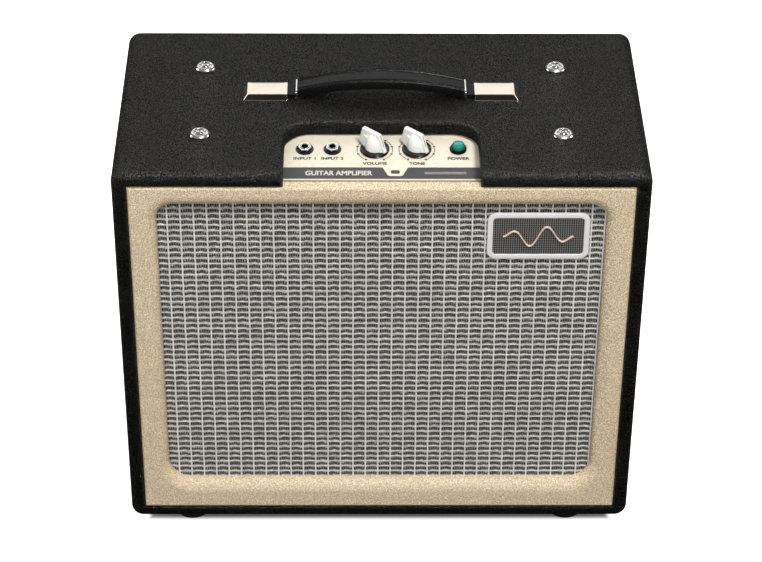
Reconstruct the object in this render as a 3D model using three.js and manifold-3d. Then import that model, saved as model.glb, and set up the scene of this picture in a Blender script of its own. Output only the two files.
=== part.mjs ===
// A 1x12 valve guitar combo: a covered plywood cabinet with a front baffle frame, a speaker behind
// grille cloth, and a chassis hung under the top board with its control panel in the top board's notch.
// Millimetres, +Z up, +X to the right seen from the front, the front facing -Y. The origin is the
// middle of the footprint, at the bottom of the feet.
import * as THREE from "three";
import { mergeVertices } from "three/addons/utils/BufferGeometryUtils.js";
import Module from "manifold-3d";

const wasm = await Module();
wasm.setup();

// Driving dimensions
const WIDTH = 500;
const DEPTH = 260;
const HEIGHT = 417; // of the cabinet, without its feet
const BOARD = 14;
const SIDE_EDGE_R = 12; // long edges that run from front to back
const FACE_EDGE_R = 9; // edges round the front and back
const FOOT_H = 15;
const GAP = 0.3; // between pieces that touch

const FRONT = -DEPTH / 2;
const BACK = DEPTH / 2;
const FLOOR = FOOT_H; // underside of the cabinet
const TOP = FLOOR + HEIGHT;
const IN_X = WIDTH / 2 - BOARD; // inner faces of the boards
const IN_Z0 = FLOOR + BOARD;
const IN_Z1 = TOP - BOARD;

// Notch in the top board, and the control panel in it
const NOTCH_HALF = 91.3;
const NOTCH_DEPTH = 90.5;
const NOTCH_R = 25;
const PANEL_TILT = THREE.MathUtils.degToRad(6);
const PANEL_BACK_Y = FRONT + 90; // a point on the panel's top face
const PANEL_BACK_Z = IN_Z1 - 2;
const PANEL_T = 1.5;
const PANEL_HALF = 100;
const PANEL_FRONT_S = -77; // along the panel, from the point above
const PANEL_REAR_S = 10;
const CONTROL_S = -19.8;
const JACK_X = [-72.2, -46.1];
const KNOB_X = [-6.2, 33.4];
const LAMP_X = 72.4;
const POINTER_DEG = 129; // clockwise from twelve o'clock, as the knobs stand at rest

// Baffle frame, grille cloth and speaker baffle, front to back
const FRAME_RECESS = 0.5;
const FRAME_T = 11;
const OPEN_HALF = 210;
const OPEN_Z0 = FLOOR + 46;
const OPEN_Z1 = FLOOR + 380;
const OPEN_R = 22;
const OPEN_ROLL = 8; // how far the opening's edge rounds over
const CLOTH_T = 1.2;
const BAFFLE_T = 12;
const CLOTH_Y = FRONT + FRAME_RECESS + FRAME_T + GAP;
const BAFFLE_Y = CLOTH_Y + CLOTH_T + GAP;
const BAFFLE_TOP = FLOOR + 388;

// Chassis
const STEEL = 1.5;
const CHASSIS_HALF = 186;
const CHASSIS_Y0 = BAFFLE_Y + BAFFLE_T + GAP; // only its deck reaches forward, over the baffle
const CHASSIS_Y1 = FRONT + 243;
const CHASSIS_Z0 = FLOOR + 350;
const CHASSIS_Z1 = IN_Z1 - GAP;
const BOLT_X = 170.5;
const BOLT_Y = [FRONT + 68.5, FRONT + 187.5];
const UNDER_Z = CHASSIS_Z0 - GAP; // what hangs from the chassis starts here

// Speaker
const SPEAKER_Z = FLOOR + 186;
const SPEAKER_R = 151;
const SPEAKER_HOLE_R = 140;
const SPEAKER_Y = BAFFLE_Y + BAFFLE_T + GAP;

// Handle
const HANDLE_Y = FRONT + 140;
const GRIP_HALF = 79;
const GRIP_W = 26;
const GRIP_T = 9.5;
const GRIP_RISE = 22; // top of the arch above the top board
const GRIP_END_RISE = 11.3;
const CAP_X0 = 89;
const CAP_X1 = 131.7;
const CAP_W = 27;
const CAP_H = 7;

const FOOT_X = 190;
const FOOT_Y = DEPTH / 2 - 33;
const FOOT_R = 18;

// Back panels and the battens that they screw to
const CLEAT = 18;
const BACK_PANEL_T = 10;
const BACK_PANEL_Y = BACK - 3 - BACK_PANEL_T;
const LOWER_PANEL_TOP = FLOOR + 118;
const UPPER_PANEL_Z0 = FLOOR + 262;
const UPPER_PANEL_Z1 = FLOOR + 346;

const BADGE_X = 147;
const BADGE_Z = FLOOR + 342;
const BADGE_W = 96;
const BADGE_H = 52;
const BADGE_T = 2.4;
const BADGE_R = 9;

// Knobs, jacks and lamp, measured out of the panel
const SHAFT_R = 3;
const SKIRT_R = 13.9;
const SKIRT_Z0 = 0.4;
const SKIRT_Z1 = 2.4;
const HUB_R = 9.2;
const KNOB_TOP = 21;
const FIN_T = 4.8;
const JACK_BUSH_R = 4.7;
const JACK_BORE_R = 3.3;
const JACK_NUT_ACROSS = 13.2; // corner to corner
const JACK_NUT_TOP = 4;
const JACK_BODY_R = 7.5;
const JACK_BODY_DEPTH = 22;
const POT_BUSH_R = 4.7;
const POT_BODY_R = 12;
const POT_BODY_DEPTH = 9;
const LAMP_BUSH_R = 5.5;
const LAMP_BEZEL_R = 7.9;
const LAMP_BODY_DEPTH = 24;
const JEWEL_R = 5.9;
const JEWEL_TOP = 8.6;

// Chassis fittings
const SOCKET_R = 12;
const TUBES = [
  { name: "preamp_tube_1", x: -18, r: 10.2, length: 50 },
  { name: "preamp_tube_2", x: 32, r: 10.2, length: 50 },
  { name: "power_tube", x: 82, r: 11, length: 66 },
];
const TUBE_Y = FRONT + 206;
const CAN_X = -64;
const CAN_R = 12.5;
const CAN_H = 52;
const INLET_X = 140;
const INLET_Z = CHASSIS_Z0 + 27;
const INLET_W = 28; // of its housing; the socket in it is narrower
const INLET_H = 20;
const SWITCH_X = 92;
const SWITCH_R = 5.8;
const LEVER_DEG = 12; // below level, as the switch stands at rest

// --- Solids -----------------------------------------------------------------------------------

function solid(geometry) {
  const plain = geometry.index ? geometry.toNonIndexed() : geometry.clone();
  plain.deleteAttribute("normal");
  plain.deleteAttribute("uv");
  const merged = mergeVertices(plain, 1e-4);
  return new wasm.Manifold(
    new wasm.Mesh({
      numProp: 3,
      vertProperties: merged.attributes.position.array,
      triVerts: new Uint32Array(merged.index.array),
    }),
  );
}

function geometryOf(manifold) {
  const mesh = manifold.getMesh();
  const geometry = new THREE.BufferGeometry();
  geometry.setAttribute("position", new THREE.BufferAttribute(mesh.vertProperties, 3));
  geometry.setIndex(new THREE.BufferAttribute(mesh.triVerts, 1));
  return geometry;
}

function cut(geometry, ...tools) {
  return geometryOf(tools.reduce((body, tool) => body.subtract(solid(tool)), solid(geometry)));
}

function join(geometry, ...others) {
  return geometryOf(others.reduce((body, other) => body.add(solid(other)), solid(geometry)));
}

function common(geometry, ...others) {
  return geometryOf(others.reduce((body, other) => body.intersect(solid(other)), solid(geometry)));
}

// A box between two corners.
function block(x0, x1, y0, y1, z0, z1) {
  const box = new THREE.BoxGeometry(x1 - x0, y1 - y0, z1 - z0);
  return box.translate((x0 + x1) / 2, (y0 + y1) / 2, (z0 + z1) / 2);
}

// A box standing on z = 0 whose top is smaller than its foot.
function taperedBlock(length, width, height, inset) {
  const box = new THREE.BoxGeometry(length, width, height);
  const points = box.attributes.position;
  for (let i = 0; i < points.count; i += 1) {
    if (points.getZ(i) > 0) {
      points.setX(i, points.getX(i) * (1 - (2 * inset) / length));
      points.setY(i, points.getY(i) * (1 - (2 * inset) / width));
    }
  }
  return box.translate(0, 0, height / 2);
}

function roundedRect(x0, x1, y0, y1, r) {
  const shape = new THREE.Shape();
  shape.moveTo(x0 + r, y0);
  shape.absarc(x1 - r, y0 + r, r, -Math.PI / 2, 0);
  shape.absarc(x1 - r, y1 - r, r, 0, Math.PI / 2);
  shape.absarc(x0 + r, y1 - r, r, Math.PI / 2, Math.PI);
  shape.absarc(x0 + r, y0 + r, r, Math.PI, Math.PI * 1.5);
  return shape;
}

// Extrusions of a shape along Z, Y (shape drawn in X, Z) and X (shape drawn in Y, Z).
function alongZ(shape, z0, z1, curveSegments = 5) {
  const options = { depth: z1 - z0, bevelEnabled: false, curveSegments };
  return new THREE.ExtrudeGeometry(shape, options).translate(0, 0, z0);
}

function alongY(shape, y0, y1, curveSegments = 5) {
  return alongZ(shape, 0, y1 - y0, curveSegments).rotateX(Math.PI / 2).translate(0, y1, 0);
}

function alongX(shape, x0, x1, curveSegments = 5) {
  const upright = alongZ(shape, 0, x1 - x0, curveSegments).rotateX(Math.PI / 2);
  return upright.rotateZ(Math.PI / 2).translate(x0, 0, 0);
}

// A solid of revolution about Z; the profile is [radius, z] pairs, from the lowest point up.
function turned(profile, segments = 24) {
  const points = profile.map(([r, z]) => new THREE.Vector2(r, z));
  return new THREE.LatheGeometry(points, segments).rotateX(Math.PI / 2);
}

function rod(r, z0, z1, segments = 16) {
  return turned([[0, z0], [r, z0], [r, z1], [0, z1]], segments);
}

function hexagon(acrossCorners, z0, z1) {
  return rod(acrossCorners / 2, z0, z1, 6);
}

// --- Scene graph ------------------------------------------------------------------------------

const amplifier = new THREE.Group();

function material(color, roughness, metalness = 0) {
  return new THREE.MeshStandardMaterial({ color, roughness, metalness });
}

const blackVinyl = () => material(0x17181a, 0.6);
const creamVinyl = () => material(0xcdb994, 0.6);
const steel = () => material(0x9a9ca0, 0.4, 0.9);
const chrome = () => material(0xe6e3dc, 0.12, 1);
const rubber = () => material(0x101010, 0.85);
const plywood = () => material(0xb08a5a, 0.8);
const blackPlastic = () => material(0x0c0c0d, 0.35);
const ivoryPlastic = () => material(0xece4d2, 0.35);

function add(name, geometry, finish, parent = amplifier) {
  const mesh = new THREE.Mesh(geometry, finish);
  mesh.name = name;
  parent.add(mesh);
  return mesh;
}

function at(x, y, z, parent = amplifier) {
  const group = new THREE.Group();
  group.position.set(x, y, z);
  parent.add(group);
  return group;
}

// --- Cabinet ----------------------------------------------------------------------------------

// The outside of the whole cabinet, with its edges rounded.
function cabinetEnvelope() {
  const front = roundedRect(-WIDTH / 2, WIDTH / 2, FLOOR, TOP, SIDE_EDGE_R);
  const side = roundedRect(FRONT, BACK, FLOOR, TOP, FACE_EDGE_R);
  const plan = roundedRect(-WIDTH / 2, WIDTH / 2, FRONT, BACK, FACE_EDGE_R);
  return common(
    alongY(front, FRONT, BACK),
    alongX(side, -WIDTH / 2, WIDTH / 2),
    alongZ(plan, FLOOR, TOP),
  );
}

function notchShape() {
  const y0 = FRONT - 1;
  const y1 = FRONT + NOTCH_DEPTH;
  const shape = new THREE.Shape();
  shape.moveTo(-NOTCH_HALF, y0);
  shape.lineTo(NOTCH_HALF, y0);
  shape.absarc(NOTCH_HALF - NOTCH_R, y1 - NOTCH_R, NOTCH_R, 0, Math.PI / 2);
  shape.absarc(-NOTCH_HALF + NOTCH_R, y1 - NOTCH_R, NOTCH_R, Math.PI / 2, Math.PI);
  return shape;
}

function makeCabinet() {
  const envelope = cabinetEnvelope();
  const far = WIDTH;
  const bolts = [];
  for (const x of [-BOLT_X, BOLT_X]) {
    for (const y of BOLT_Y) {
      bolts.push(rod(3 + GAP, IN_Z1 - 1, TOP + 1, 12).translate(x, y, 0));
    }
  }
  const notch = alongZ(notchShape(), IN_Z1 - 1, TOP + 1, 6);
  const upper = common(envelope, block(-far, far, -far, far, IN_Z1, TOP + 1));
  add("top_board", cut(upper, notch, ...bolts), blackVinyl());
  add("bottom_board", common(envelope, block(-far, far, -far, far, 0, IN_Z0)), blackVinyl());
  const between = [-far, far, IN_Z0 + GAP, IN_Z1 - GAP];
  add("left_board", common(envelope, block(-far, -IN_X, ...between)), blackVinyl());
  add("right_board", common(envelope, block(IN_X, far, ...between)), blackVinyl());
}

function makeFeet() {
  const profile = [[0, 0], [FOOT_R - 2, 0], [FOOT_R, 2.5], [FOOT_R, FOOT_H - GAP], [0, FOOT_H - GAP]];
  const places = [["front", -FOOT_Y], ["rear", FOOT_Y]];
  for (const [end, y] of places) {
    for (const [side, x] of [["left", -FOOT_X], ["right", FOOT_X]]) {
      add(`foot_${end}_${side}`, turned(profile), rubber(), at(x, y, 0));
    }
  }
}

function makeBack() {
  const y1 = BACK_PANEL_Y - GAP;
  const z0 = IN_Z0 + GAP;
  const z1 = CHASSIS_Z0 - 6;
  const x0 = IN_X - GAP;
  const left = block(-x0, -x0 + CLEAT, y1 - CLEAT, y1, z0, z1);
  const right = block(x0 - CLEAT, x0, y1 - CLEAT, y1, z0, z1);
  add("back_cleat_left", left, plywood());
  add("back_cleat_right", right, plywood());
  const half = IN_X - 1;
  const board = (low, high) => block(-half, half, BACK_PANEL_Y, BACK_PANEL_Y + BACK_PANEL_T, low, high);
  add("lower_back_panel", board(IN_Z0 + 1, LOWER_PANEL_TOP), blackVinyl());
  add("upper_back_panel", board(UPPER_PANEL_Z0, UPPER_PANEL_Z1), blackVinyl());
}

// --- Front ------------------------------------------------------------------------------------

function makeFront() {
  const frameY = FRONT + FRAME_RECESS;
  const edge = 0.6;
  const half = IN_X - edge;
  const outline = roundedRect(-half, half, IN_Z0 + edge, IN_Z1 - edge, 1);
  const frame = cut(alongY(outline, frameY, frameY + FRAME_T, 1), frameOpening());
  add("baffle_frame", frame, creamVinyl());

  const clothHalf = IN_X - 6;
  const cloth = block(-clothHalf, clothHalf, CLOTH_Y, CLOTH_Y + CLOTH_T, IN_Z0 + 6, BAFFLE_TOP - 2);
  add("grille_cloth", cloth, material(0x8f8f8a, 0.9));

  const hole = rod(SPEAKER_HOLE_R, -1, BAFFLE_T + 1, 40).rotateX(-Math.PI / 2);
  const board = block(-half, half, BAFFLE_Y, BAFFLE_Y + BAFFLE_T, IN_Z0 + edge, BAFFLE_TOP);
  add("speaker_baffle", cut(board, hole.translate(0, BAFFLE_Y, SPEAKER_Z)), plywood());
}

// The space of the frame's opening, which is chamfered towards the front.
function frameOpening() {
  const options = {
    depth: FRAME_T,
    bevelThickness: OPEN_ROLL,
    bevelSize: OPEN_ROLL,
    bevelSegments: 1,
    curveSegments: 5,
  };
  const shape = roundedRect(-OPEN_HALF, OPEN_HALF, OPEN_Z0, OPEN_Z1, OPEN_R);
  const chamfered = new THREE.ExtrudeGeometry(shape, options).rotateX(Math.PI / 2);
  const through = alongY(shape, FRONT, CLOTH_Y, 5);
  return join(chamfered.translate(0, CLOTH_Y - GAP - 2, 0), through);
}

function makeBadge() {
  const shape = roundedRect(-BADGE_W / 2, BADGE_W / 2, -BADGE_H / 2, BADGE_H / 2, BADGE_R);
  const plate = alongY(shape, 0, BADGE_T, 4);
  add("badge", plate, chrome(), at(BADGE_X, CLOTH_Y - GAP - BADGE_T, BADGE_Z));
}

// --- Handle -----------------------------------------------------------------------------------

// Height of the grip's top above the top board at a distance from the middle.
function gripTop(x) {
  const bend = 1.9;
  return GRIP_RISE - (GRIP_RISE - GRIP_END_RISE) * Math.abs(x / GRIP_HALF) ** bend;
}

function gripShape() {
  const steps = 14;
  const top = [];
  const underside = [];
  for (let i = 0; i <= steps; i += 1) {
    const x = -GRIP_HALF + (2 * GRIP_HALF * i) / steps;
    top.push(new THREE.Vector2(x, gripTop(x)));
    underside.push(new THREE.Vector2(x, gripTop(x) - GRIP_T));
  }
  return new THREE.Shape([...underside, ...top.reverse()]);
}

function makeHandle() {
  const handle = at(0, HANDLE_Y, TOP);
  const grip = alongY(gripShape(), -GRIP_W / 2, GRIP_W / 2, 1);
  add("handle_grip", grip, material(0x141414, 0.45), handle);

  const length = CAP_X1 - CAP_X0;
  for (const [side, sign] of [["left", -1], ["right", 1]]) {
    const cap = at(sign * (CAP_X0 + length / 2), 0, GAP, handle);
    const slot = block(-length / 2 - 1, length / 2 - 4, -9, 9, -1, 4.4).scale(sign, 1, 1);
    const shell = taperedBlock(length, CAP_W, CAP_H, 2);
    const tool = sign < 0 ? flipped(slot) : slot;
    add(`handle_cap_${side}`, cut(shell, tool), chrome(), cap);

    // The strap's end: a collar round the grip's end, and the tongue that runs into the cap.
    const x0 = GRIP_HALF + GAP;
    const collar = block(x0, x0 + 2.4, -13, 13, 2, 10);
    const tongue = block(x0 + 1, CAP_X0 + 24, -8.4, 8.4, 1.4, 3.9);
    const end = join(collar, tongue);
    add(`handle_end_${side}`, sign < 0 ? flipped(end.scale(-1, 1, 1)) : end, chrome(), handle);
  }
}

// A mirrored geometry with its triangles turned to face out again.
function flipped(geometry) {
  const plain = geometry.index ? geometry.toNonIndexed() : geometry;
  const points = plain.attributes.position;
  const a = new THREE.Vector3();
  const b = new THREE.Vector3();
  for (let i = 0; i < points.count; i += 3) {
    a.fromBufferAttribute(points, i + 1);
    b.fromBufferAttribute(points, i + 2);
    points.setXYZ(i + 1, b.x, b.y, b.z);
    points.setXYZ(i + 2, a.x, a.y, a.z);
  }
  return plain;
}

// --- Control panel ----------------------------------------------------------------------------

// Everything on the panel is placed in a frame that lies on its top face: X to the right,
// Y back along the panel and Z out of it.
function panelFrame() {
  const frame = at(0, PANEL_BACK_Y, PANEL_BACK_Z);
  frame.rotation.x = PANEL_TILT;
  return frame;
}

function panelHoles(z0, z1) {
  const hole = (x, r) => rod(r + GAP, z0, z1, 16).translate(x, CONTROL_S, 0);
  return [
    ...JACK_X.map((x) => hole(x, JACK_BUSH_R)),
    ...KNOB_X.map((x) => hole(x, POT_BUSH_R)),
    hole(LAMP_X, LAMP_BUSH_R),
  ];
}

function makePanel(panel) {
  const plate = block(-PANEL_HALF, PANEL_HALF, PANEL_FRONT_S, PANEL_REAR_S, -PANEL_T, 0);
  add("control_panel", cut(plate, ...panelHoles(-5, 5)), material(0xd8cdb4, 0.4), panel);
}

// Heights in the panel's frame: the chassis's sloping deck, and where what hangs under it starts.
const DECK_TOP = -PANEL_T - GAP;
const DECK_UNDER = DECK_TOP - STEEL - GAP;

function makeJack(name, x, panel) {
  const low = DECK_UNDER - JACK_BODY_DEPTH;
  const outside = [
    [0, low], [JACK_BODY_R, low], [JACK_BODY_R, DECK_UNDER], [JACK_BUSH_R, DECK_UNDER],
    [JACK_BUSH_R, 1.3], [0, 1.3],
  ];
  const nut = hexagon(JACK_NUT_ACROSS, 1.2, JACK_NUT_TOP);
  const bore = rod(JACK_BORE_R, low + 2, JACK_NUT_TOP + 1, 20);
  const jack = cut(join(turned(outside, 16), nut), bore);
  add(name, jack, chrome(), at(x, CONTROL_S, 0, panel));
}

// The knob's side view along its pointer: tail, flat top, sloping nose.
function knobFin() {
  const base = SKIRT_Z1 + 0.8;
  const points = [[-18.2, base], [-13.9, KNOB_TOP], [6.2, KNOB_TOP - 0.3], [13.2, base]];
  return new THREE.Shape(points.map(([u, z]) => new THREE.Vector2(u, z)));
}

function makeKnob(name, x, panel) {
  const centre = at(x, CONTROL_S, 0, panel);
  const low = DECK_UNDER - POT_BODY_DEPTH;
  const well = SHAFT_R + 0.6;
  const body = [
    [0, low], [POT_BODY_R, low], [POT_BODY_R, DECK_UNDER], [POT_BUSH_R, DECK_UNDER],
    [POT_BUSH_R, -0.2], [well, -0.2], [well, low + 2], [0, low + 2],
  ];
  const shaftTop = 11;
  const shaftHole = rod(SHAFT_R + GAP, -1, shaftTop + GAP);
  add(`pot_${name}`, turned(body, 20), steel(), centre);
  add(`pot_shaft_${name}`, rod(SHAFT_R, low + 3, shaftTop), steel(), centre);

  const disc = [
    [0, SKIRT_Z0], [SKIRT_R, SKIRT_Z0], [SKIRT_R, SKIRT_Z1 - 0.8], [SKIRT_R - 1.3, SKIRT_Z1], [0, SKIRT_Z1],
  ];
  add(`knob_skirt_${name}`, cut(turned(disc, 32), shaftHole), blackPlastic(), centre);

  const hubZ0 = SKIRT_Z1 + GAP;
  const hub = turned([[0, hubZ0], [HUB_R, hubZ0], [HUB_R - 0.3, 10], [HUB_R - 2.7, 14.5], [0, 16]], 24);
  const fin = alongY(knobFin(), -FIN_T / 2, FIN_T / 2, 1);
  fin.rotateZ(THREE.MathUtils.degToRad(90 - POINTER_DEG));
  add(`knob_${name}`, cut(join(hub, fin), shaftHole), ivoryPlastic(), centre);
}

function makeLamp(panel) {
  const centre = at(LAMP_X, CONTROL_S, 0, panel);
  const low = DECK_UNDER - LAMP_BODY_DEPTH;
  const bodyR = LAMP_BEZEL_R - 0.9;
  const lip = 3.4;
  const profile = [
    [0, low], [bodyR, low], [bodyR, DECK_UNDER], [LAMP_BUSH_R, DECK_UNDER], [LAMP_BUSH_R, GAP],
    [LAMP_BEZEL_R, GAP], [LAMP_BEZEL_R, lip - 1], [bodyR, lip], [0, lip],
  ];
  const seat = rod(JEWEL_R + GAP, 1.2, 5, 20);
  add("lamp_bezel", cut(turned(profile, 24), seat), blackPlastic(), centre);
  const facets = [
    [0, 1.5], [JEWEL_R, 1.5], [JEWEL_R, JEWEL_TOP - 2.2], [JEWEL_R - 1.3, JEWEL_TOP - 0.4], [0, JEWEL_TOP],
  ];
  const jewel = turned(facets, 12);
  add("lamp_jewel", jewel, material(0x2fa596, 0.15), centre);
}

// --- Chassis ----------------------------------------------------------------------------------

function makeChassis() {
  const h = CHASSIS_HALF;
  const deck = block(
    -PANEL_HALF - 40, PANEL_HALF + 40, PANEL_FRONT_S + 0.4, PANEL_REAR_S, DECK_TOP - STEEL, DECK_TOP,
  );
  const holes = panelHoles(-8, 5);
  const tilted = [deck, ...holes].map((g) =>
    g.rotateX(PANEL_TILT).translate(0, PANEL_BACK_Y, PANEL_BACK_Z),
  );
  const frontTop = PANEL_BACK_Z - (PANEL_BACK_Y - CHASSIS_Y0) * Math.tan(PANEL_TILT) - PANEL_T - 1;
  const tray = join(
    block(-h, h, CHASSIS_Y0, CHASSIS_Y1, CHASSIS_Z0, CHASSIS_Z0 + STEEL),
    block(-h, h, CHASSIS_Y0, CHASSIS_Y0 + STEEL, CHASSIS_Z0, frontTop),
    block(-h, h, CHASSIS_Y1 - STEEL, CHASSIS_Y1, CHASSIS_Z0, CHASSIS_Z1),
    block(-h, -h + STEEL, CHASSIS_Y0, CHASSIS_Y1, CHASSIS_Z0, CHASSIS_Z1),
    block(h - STEEL, h, CHASSIS_Y0, CHASSIS_Y1, CHASSIS_Z0, CHASSIS_Z1),
    block(-h, -h + 34, BOLT_Y[0] - 18, CHASSIS_Y1, CHASSIS_Z1 - STEEL, CHASSIS_Z1),
    block(h - 34, h, BOLT_Y[0] - 18, CHASSIS_Y1, CHASSIS_Z1 - STEEL, CHASSIS_Z1),
    tilted[0],
  );
  const boltHoles = [];
  for (const x of [-BOLT_X, BOLT_X]) {
    for (const y of BOLT_Y) {
      boltHoles.push(rod(2.5 + GAP, CHASSIS_Z1 - 5, TOP, 12).translate(x, y, 0));
    }
  }
  const socketHoles = TUBES.map(({ x }) =>
    rod(SOCKET_R + GAP, CHASSIS_Z0 - 5, CHASSIS_Z0 + 5, 20).translate(x, TUBE_Y, 0),
  );
  const inlet = block(
    INLET_X - INLET_W / 2 - GAP, INLET_X + INLET_W / 2 + GAP, CHASSIS_Y1 - 5, CHASSIS_Y1 + 5,
    INLET_Z - INLET_H / 2 - GAP, INLET_Z + INLET_H / 2 + GAP,
  );
  const switchHole = rod(SWITCH_R + GAP, -5, 5).rotateX(-Math.PI / 2);
  switchHole.translate(SWITCH_X, CHASSIS_Y1, INLET_Z);
  const chassis = cut(tray, ...tilted.slice(1), ...boltHoles, ...socketHoles, inlet, switchHole);
  add("chassis", chassis, steel());
}

// Four machine screws with cup washers, down through the top board into the chassis.
function makeBolts() {
  for (const [side, x] of [["left", -BOLT_X], ["right", BOLT_X]]) {
    for (const [i, end] of ["front", "rear"].entries()) {
      const place = at(x, BOLT_Y[i], TOP);
      const cup = [[3, GAP], [9.6, GAP], [9.2, 1.6], [6.6, 3], [5.6, 3], [3, 1.4], [3, GAP]];
      add(`cup_washer_${end}_${side}`, turned(cup, 24), chrome(), place);
      const low = CHASSIS_Z1 - TOP - 9;
      const screw = [[0, low], [2.5, low], [2.5, 1.6], [5, 3.3], [4.4, 4.4], [0, 5]];
      add(`chassis_screw_${end}_${side}`, turned(screw, 16), chrome(), place);
    }
  }
}

// What hangs under the chassis: transformers, valves in their sockets, and a capacitor can.
function transformer(length, width, height) {
  const core = block(-length / 2, length / 2, -width / 4, width / 4, -height, 0);
  const ends = block(-length * 0.36, length * 0.36, -width / 2, width / 2, -height * 0.86, -height * 0.14);
  return join(core, ends);
}

function makeUnderside() {
  const hang = (x, y) => at(x, y, UNDER_Z);
  const iron = material(0x26262a, 0.6, 0.4);
  add("power_transformer", transformer(84, 62, 68), iron, hang(-128, FRONT + 192));
  add("output_transformer", transformer(58, 48, 50), iron.clone(), hang(142, FRONT + 196));
  add("filter_capacitor", rod(CAN_R, -CAN_H, 0, 20), material(0xb9bcc0, 0.3, 0.9), hang(CAN_X, TUBE_Y));
  for (const [i, { name, x, r, length }] of TUBES.entries()) {
    const place = at(x, TUBE_Y, CHASSIS_Z0);
    const socket = [[0, -5], [13.5, -5], [13.5, -GAP], [SOCKET_R, -GAP], [SOCKET_R, 6], [0, 6]];
    add(`tube_socket_${i + 1}`, turned(socket, 20), blackPlastic(), place);
    const low = -5 - GAP;
    const glass = [[0, low - length], [3, low - length + 1], [r - 3, low - length + 5]];
    const bulb = [...glass, [r, low - length + 10], [r, low - 2], [r - 1.5, low], [0, low]];
    add(name, turned(bulb, 16), material(0xcfd6d8, 0.05), place);
  }
}

function makeRear() {
  const place = at(INLET_X, CHASSIS_Y1, INLET_Z);
  const flange = block(-16, 16, GAP, 3, -12.5, 12.5);
  const housing = block(-INLET_W / 2, INLET_W / 2, -24, 1, -INLET_H / 2, INLET_H / 2);
  const socket = block(-11.5, 11.5, -15, 4, -7.5, 7.5);
  add("mains_inlet", cut(join(flange, housing), socket), blackPlastic(), place);

  const pivot = at(SWITCH_X, CHASSIS_Y1, INLET_Z);
  const body = block(-7, 7, -STEEL - GAP - 20, -STEEL - GAP, -13, 13);
  const bush = rod(SWITCH_R, -STEEL - GAP - 2, 6).rotateX(-Math.PI / 2);
  const well = rod(4.6, -1, 8).rotateX(-Math.PI / 2);
  add("power_switch", cut(join(body, bush), well), steel(), pivot);
  const lever = turned([[0, -2], [2, -1], [2, 4], [3, 9], [2.6, 11], [0, 12]], 14);
  const arm = at(0, 3, 0, pivot);
  arm.rotation.x = -Math.PI / 2 - THREE.MathUtils.degToRad(LEVER_DEG);
  add("power_switch_lever", lever, chrome(), arm);
}

// --- Speaker ----------------------------------------------------------------------------------

// Solids of revolution about the speaker's axis; the profile's second number runs backwards.
function makeSpeaker() {
  const speaker = at(0, SPEAKER_Y, SPEAKER_Z);
  const facingBack = (profile, segments) => turned(profile, segments).rotateX(-Math.PI / 2);

  const basket = facingBack(
    [
      [SPEAKER_HOLE_R - 1, 0], [SPEAKER_R, 0], [SPEAKER_R, 3], [SPEAKER_HOLE_R + 1, 5],
      [SPEAKER_HOLE_R - 8, 22], [82, 66], [66, 70], [66, 78], [36, 78], [36, 75], [62, 75], [62, 67],
      [79, 63], [SPEAKER_HOLE_R - 11, 20], [SPEAKER_HOLE_R - 3, 4], [SPEAKER_HOLE_R - 1, 0],
    ],
    40,
  );
  const windows = [];
  const count = 8;
  for (let i = 0; i < count; i += 1) {
    const window = block(SPEAKER_HOLE_R * 0.62, SPEAKER_HOLE_R + 8, -18, 18, 24, 61);
    const angle = ((i + 0.5) / count) * 2 * Math.PI;
    windows.push(window.rotateZ(angle).rotateX(-Math.PI / 2));
  }
  add("speaker_basket", cut(basket, ...windows), material(0x1d1e20, 0.5, 0.6), speaker);

  const magnet = [
    [0, 78 + GAP], [58, 78 + GAP], [58, 84], [67, 84], [67, 104], [58, 104], [56, 110], [0, 110],
  ];
  add("speaker_magnet", facingBack(magnet, 32), material(0x2c2c30, 0.5, 0.5), speaker);

  const outer = SPEAKER_HOLE_R - 16;
  const cone = [
    [26, 52], [outer, 4], [outer, 6], [28, 53.5], [28, 68], [26, 68], [26, 52],
  ];
  add("speaker_cone", facingBack(cone, 40), material(0x2a2724, 0.9), speaker);
  const dust = [[0, 38], [12, 40], [22, 45], [27, 50], [25, 51.6], [20, 46.8], [11, 42], [0, 40]];
  add("dust_cap", facingBack(dust, 32), material(0x1f1d1b, 0.85), speaker);
  const roll = [
    [outer + GAP, 4], [outer + 4, 1.4], [outer + 9, 1.4], [SPEAKER_HOLE_R - 4, 3],
    [SPEAKER_HOLE_R - 4, 4.6], [outer + 9, 3], [outer + 4, 3], [outer + GAP, 5.6], [outer + GAP, 4],
  ];
  add("speaker_surround", facingBack(roll, 40), material(0x15130f, 0.8), speaker);
}

// --- Assembly ---------------------------------------------------------------------------------

makeCabinet();
makeFeet();
makeBack();
makeFront();
makeBadge();
makeHandle();
makeChassis();
makeBolts();
makeUnderside();
makeRear();
makeSpeaker();
const panel = panelFrame();
makePanel(panel);
JACK_X.forEach((x, i) => makeJack(`input_jack_${i + 1}`, x, panel));
makeKnob("volume", KNOB_X[0], panel);
makeKnob("tone", KNOB_X[1], panel);
makeLamp(panel);

export default amplifier;
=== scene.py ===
from math import asin, atan2, cos, degrees, hypot, pi, radians, sin

import bmesh
import bpy
import numpy as np
from mathutils import Matrix, Vector


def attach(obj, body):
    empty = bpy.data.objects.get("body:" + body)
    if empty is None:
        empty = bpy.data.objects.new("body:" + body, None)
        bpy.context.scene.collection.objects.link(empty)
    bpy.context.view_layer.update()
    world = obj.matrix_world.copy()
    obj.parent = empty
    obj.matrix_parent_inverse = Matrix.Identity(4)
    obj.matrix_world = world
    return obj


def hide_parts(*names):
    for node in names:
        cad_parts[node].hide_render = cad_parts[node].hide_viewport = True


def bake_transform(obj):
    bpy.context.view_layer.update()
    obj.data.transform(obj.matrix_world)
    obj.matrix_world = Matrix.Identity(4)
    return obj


# The looks of the guitar amplifier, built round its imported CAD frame. Sizes are in millimetres
# unless a comment says otherwise.

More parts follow.
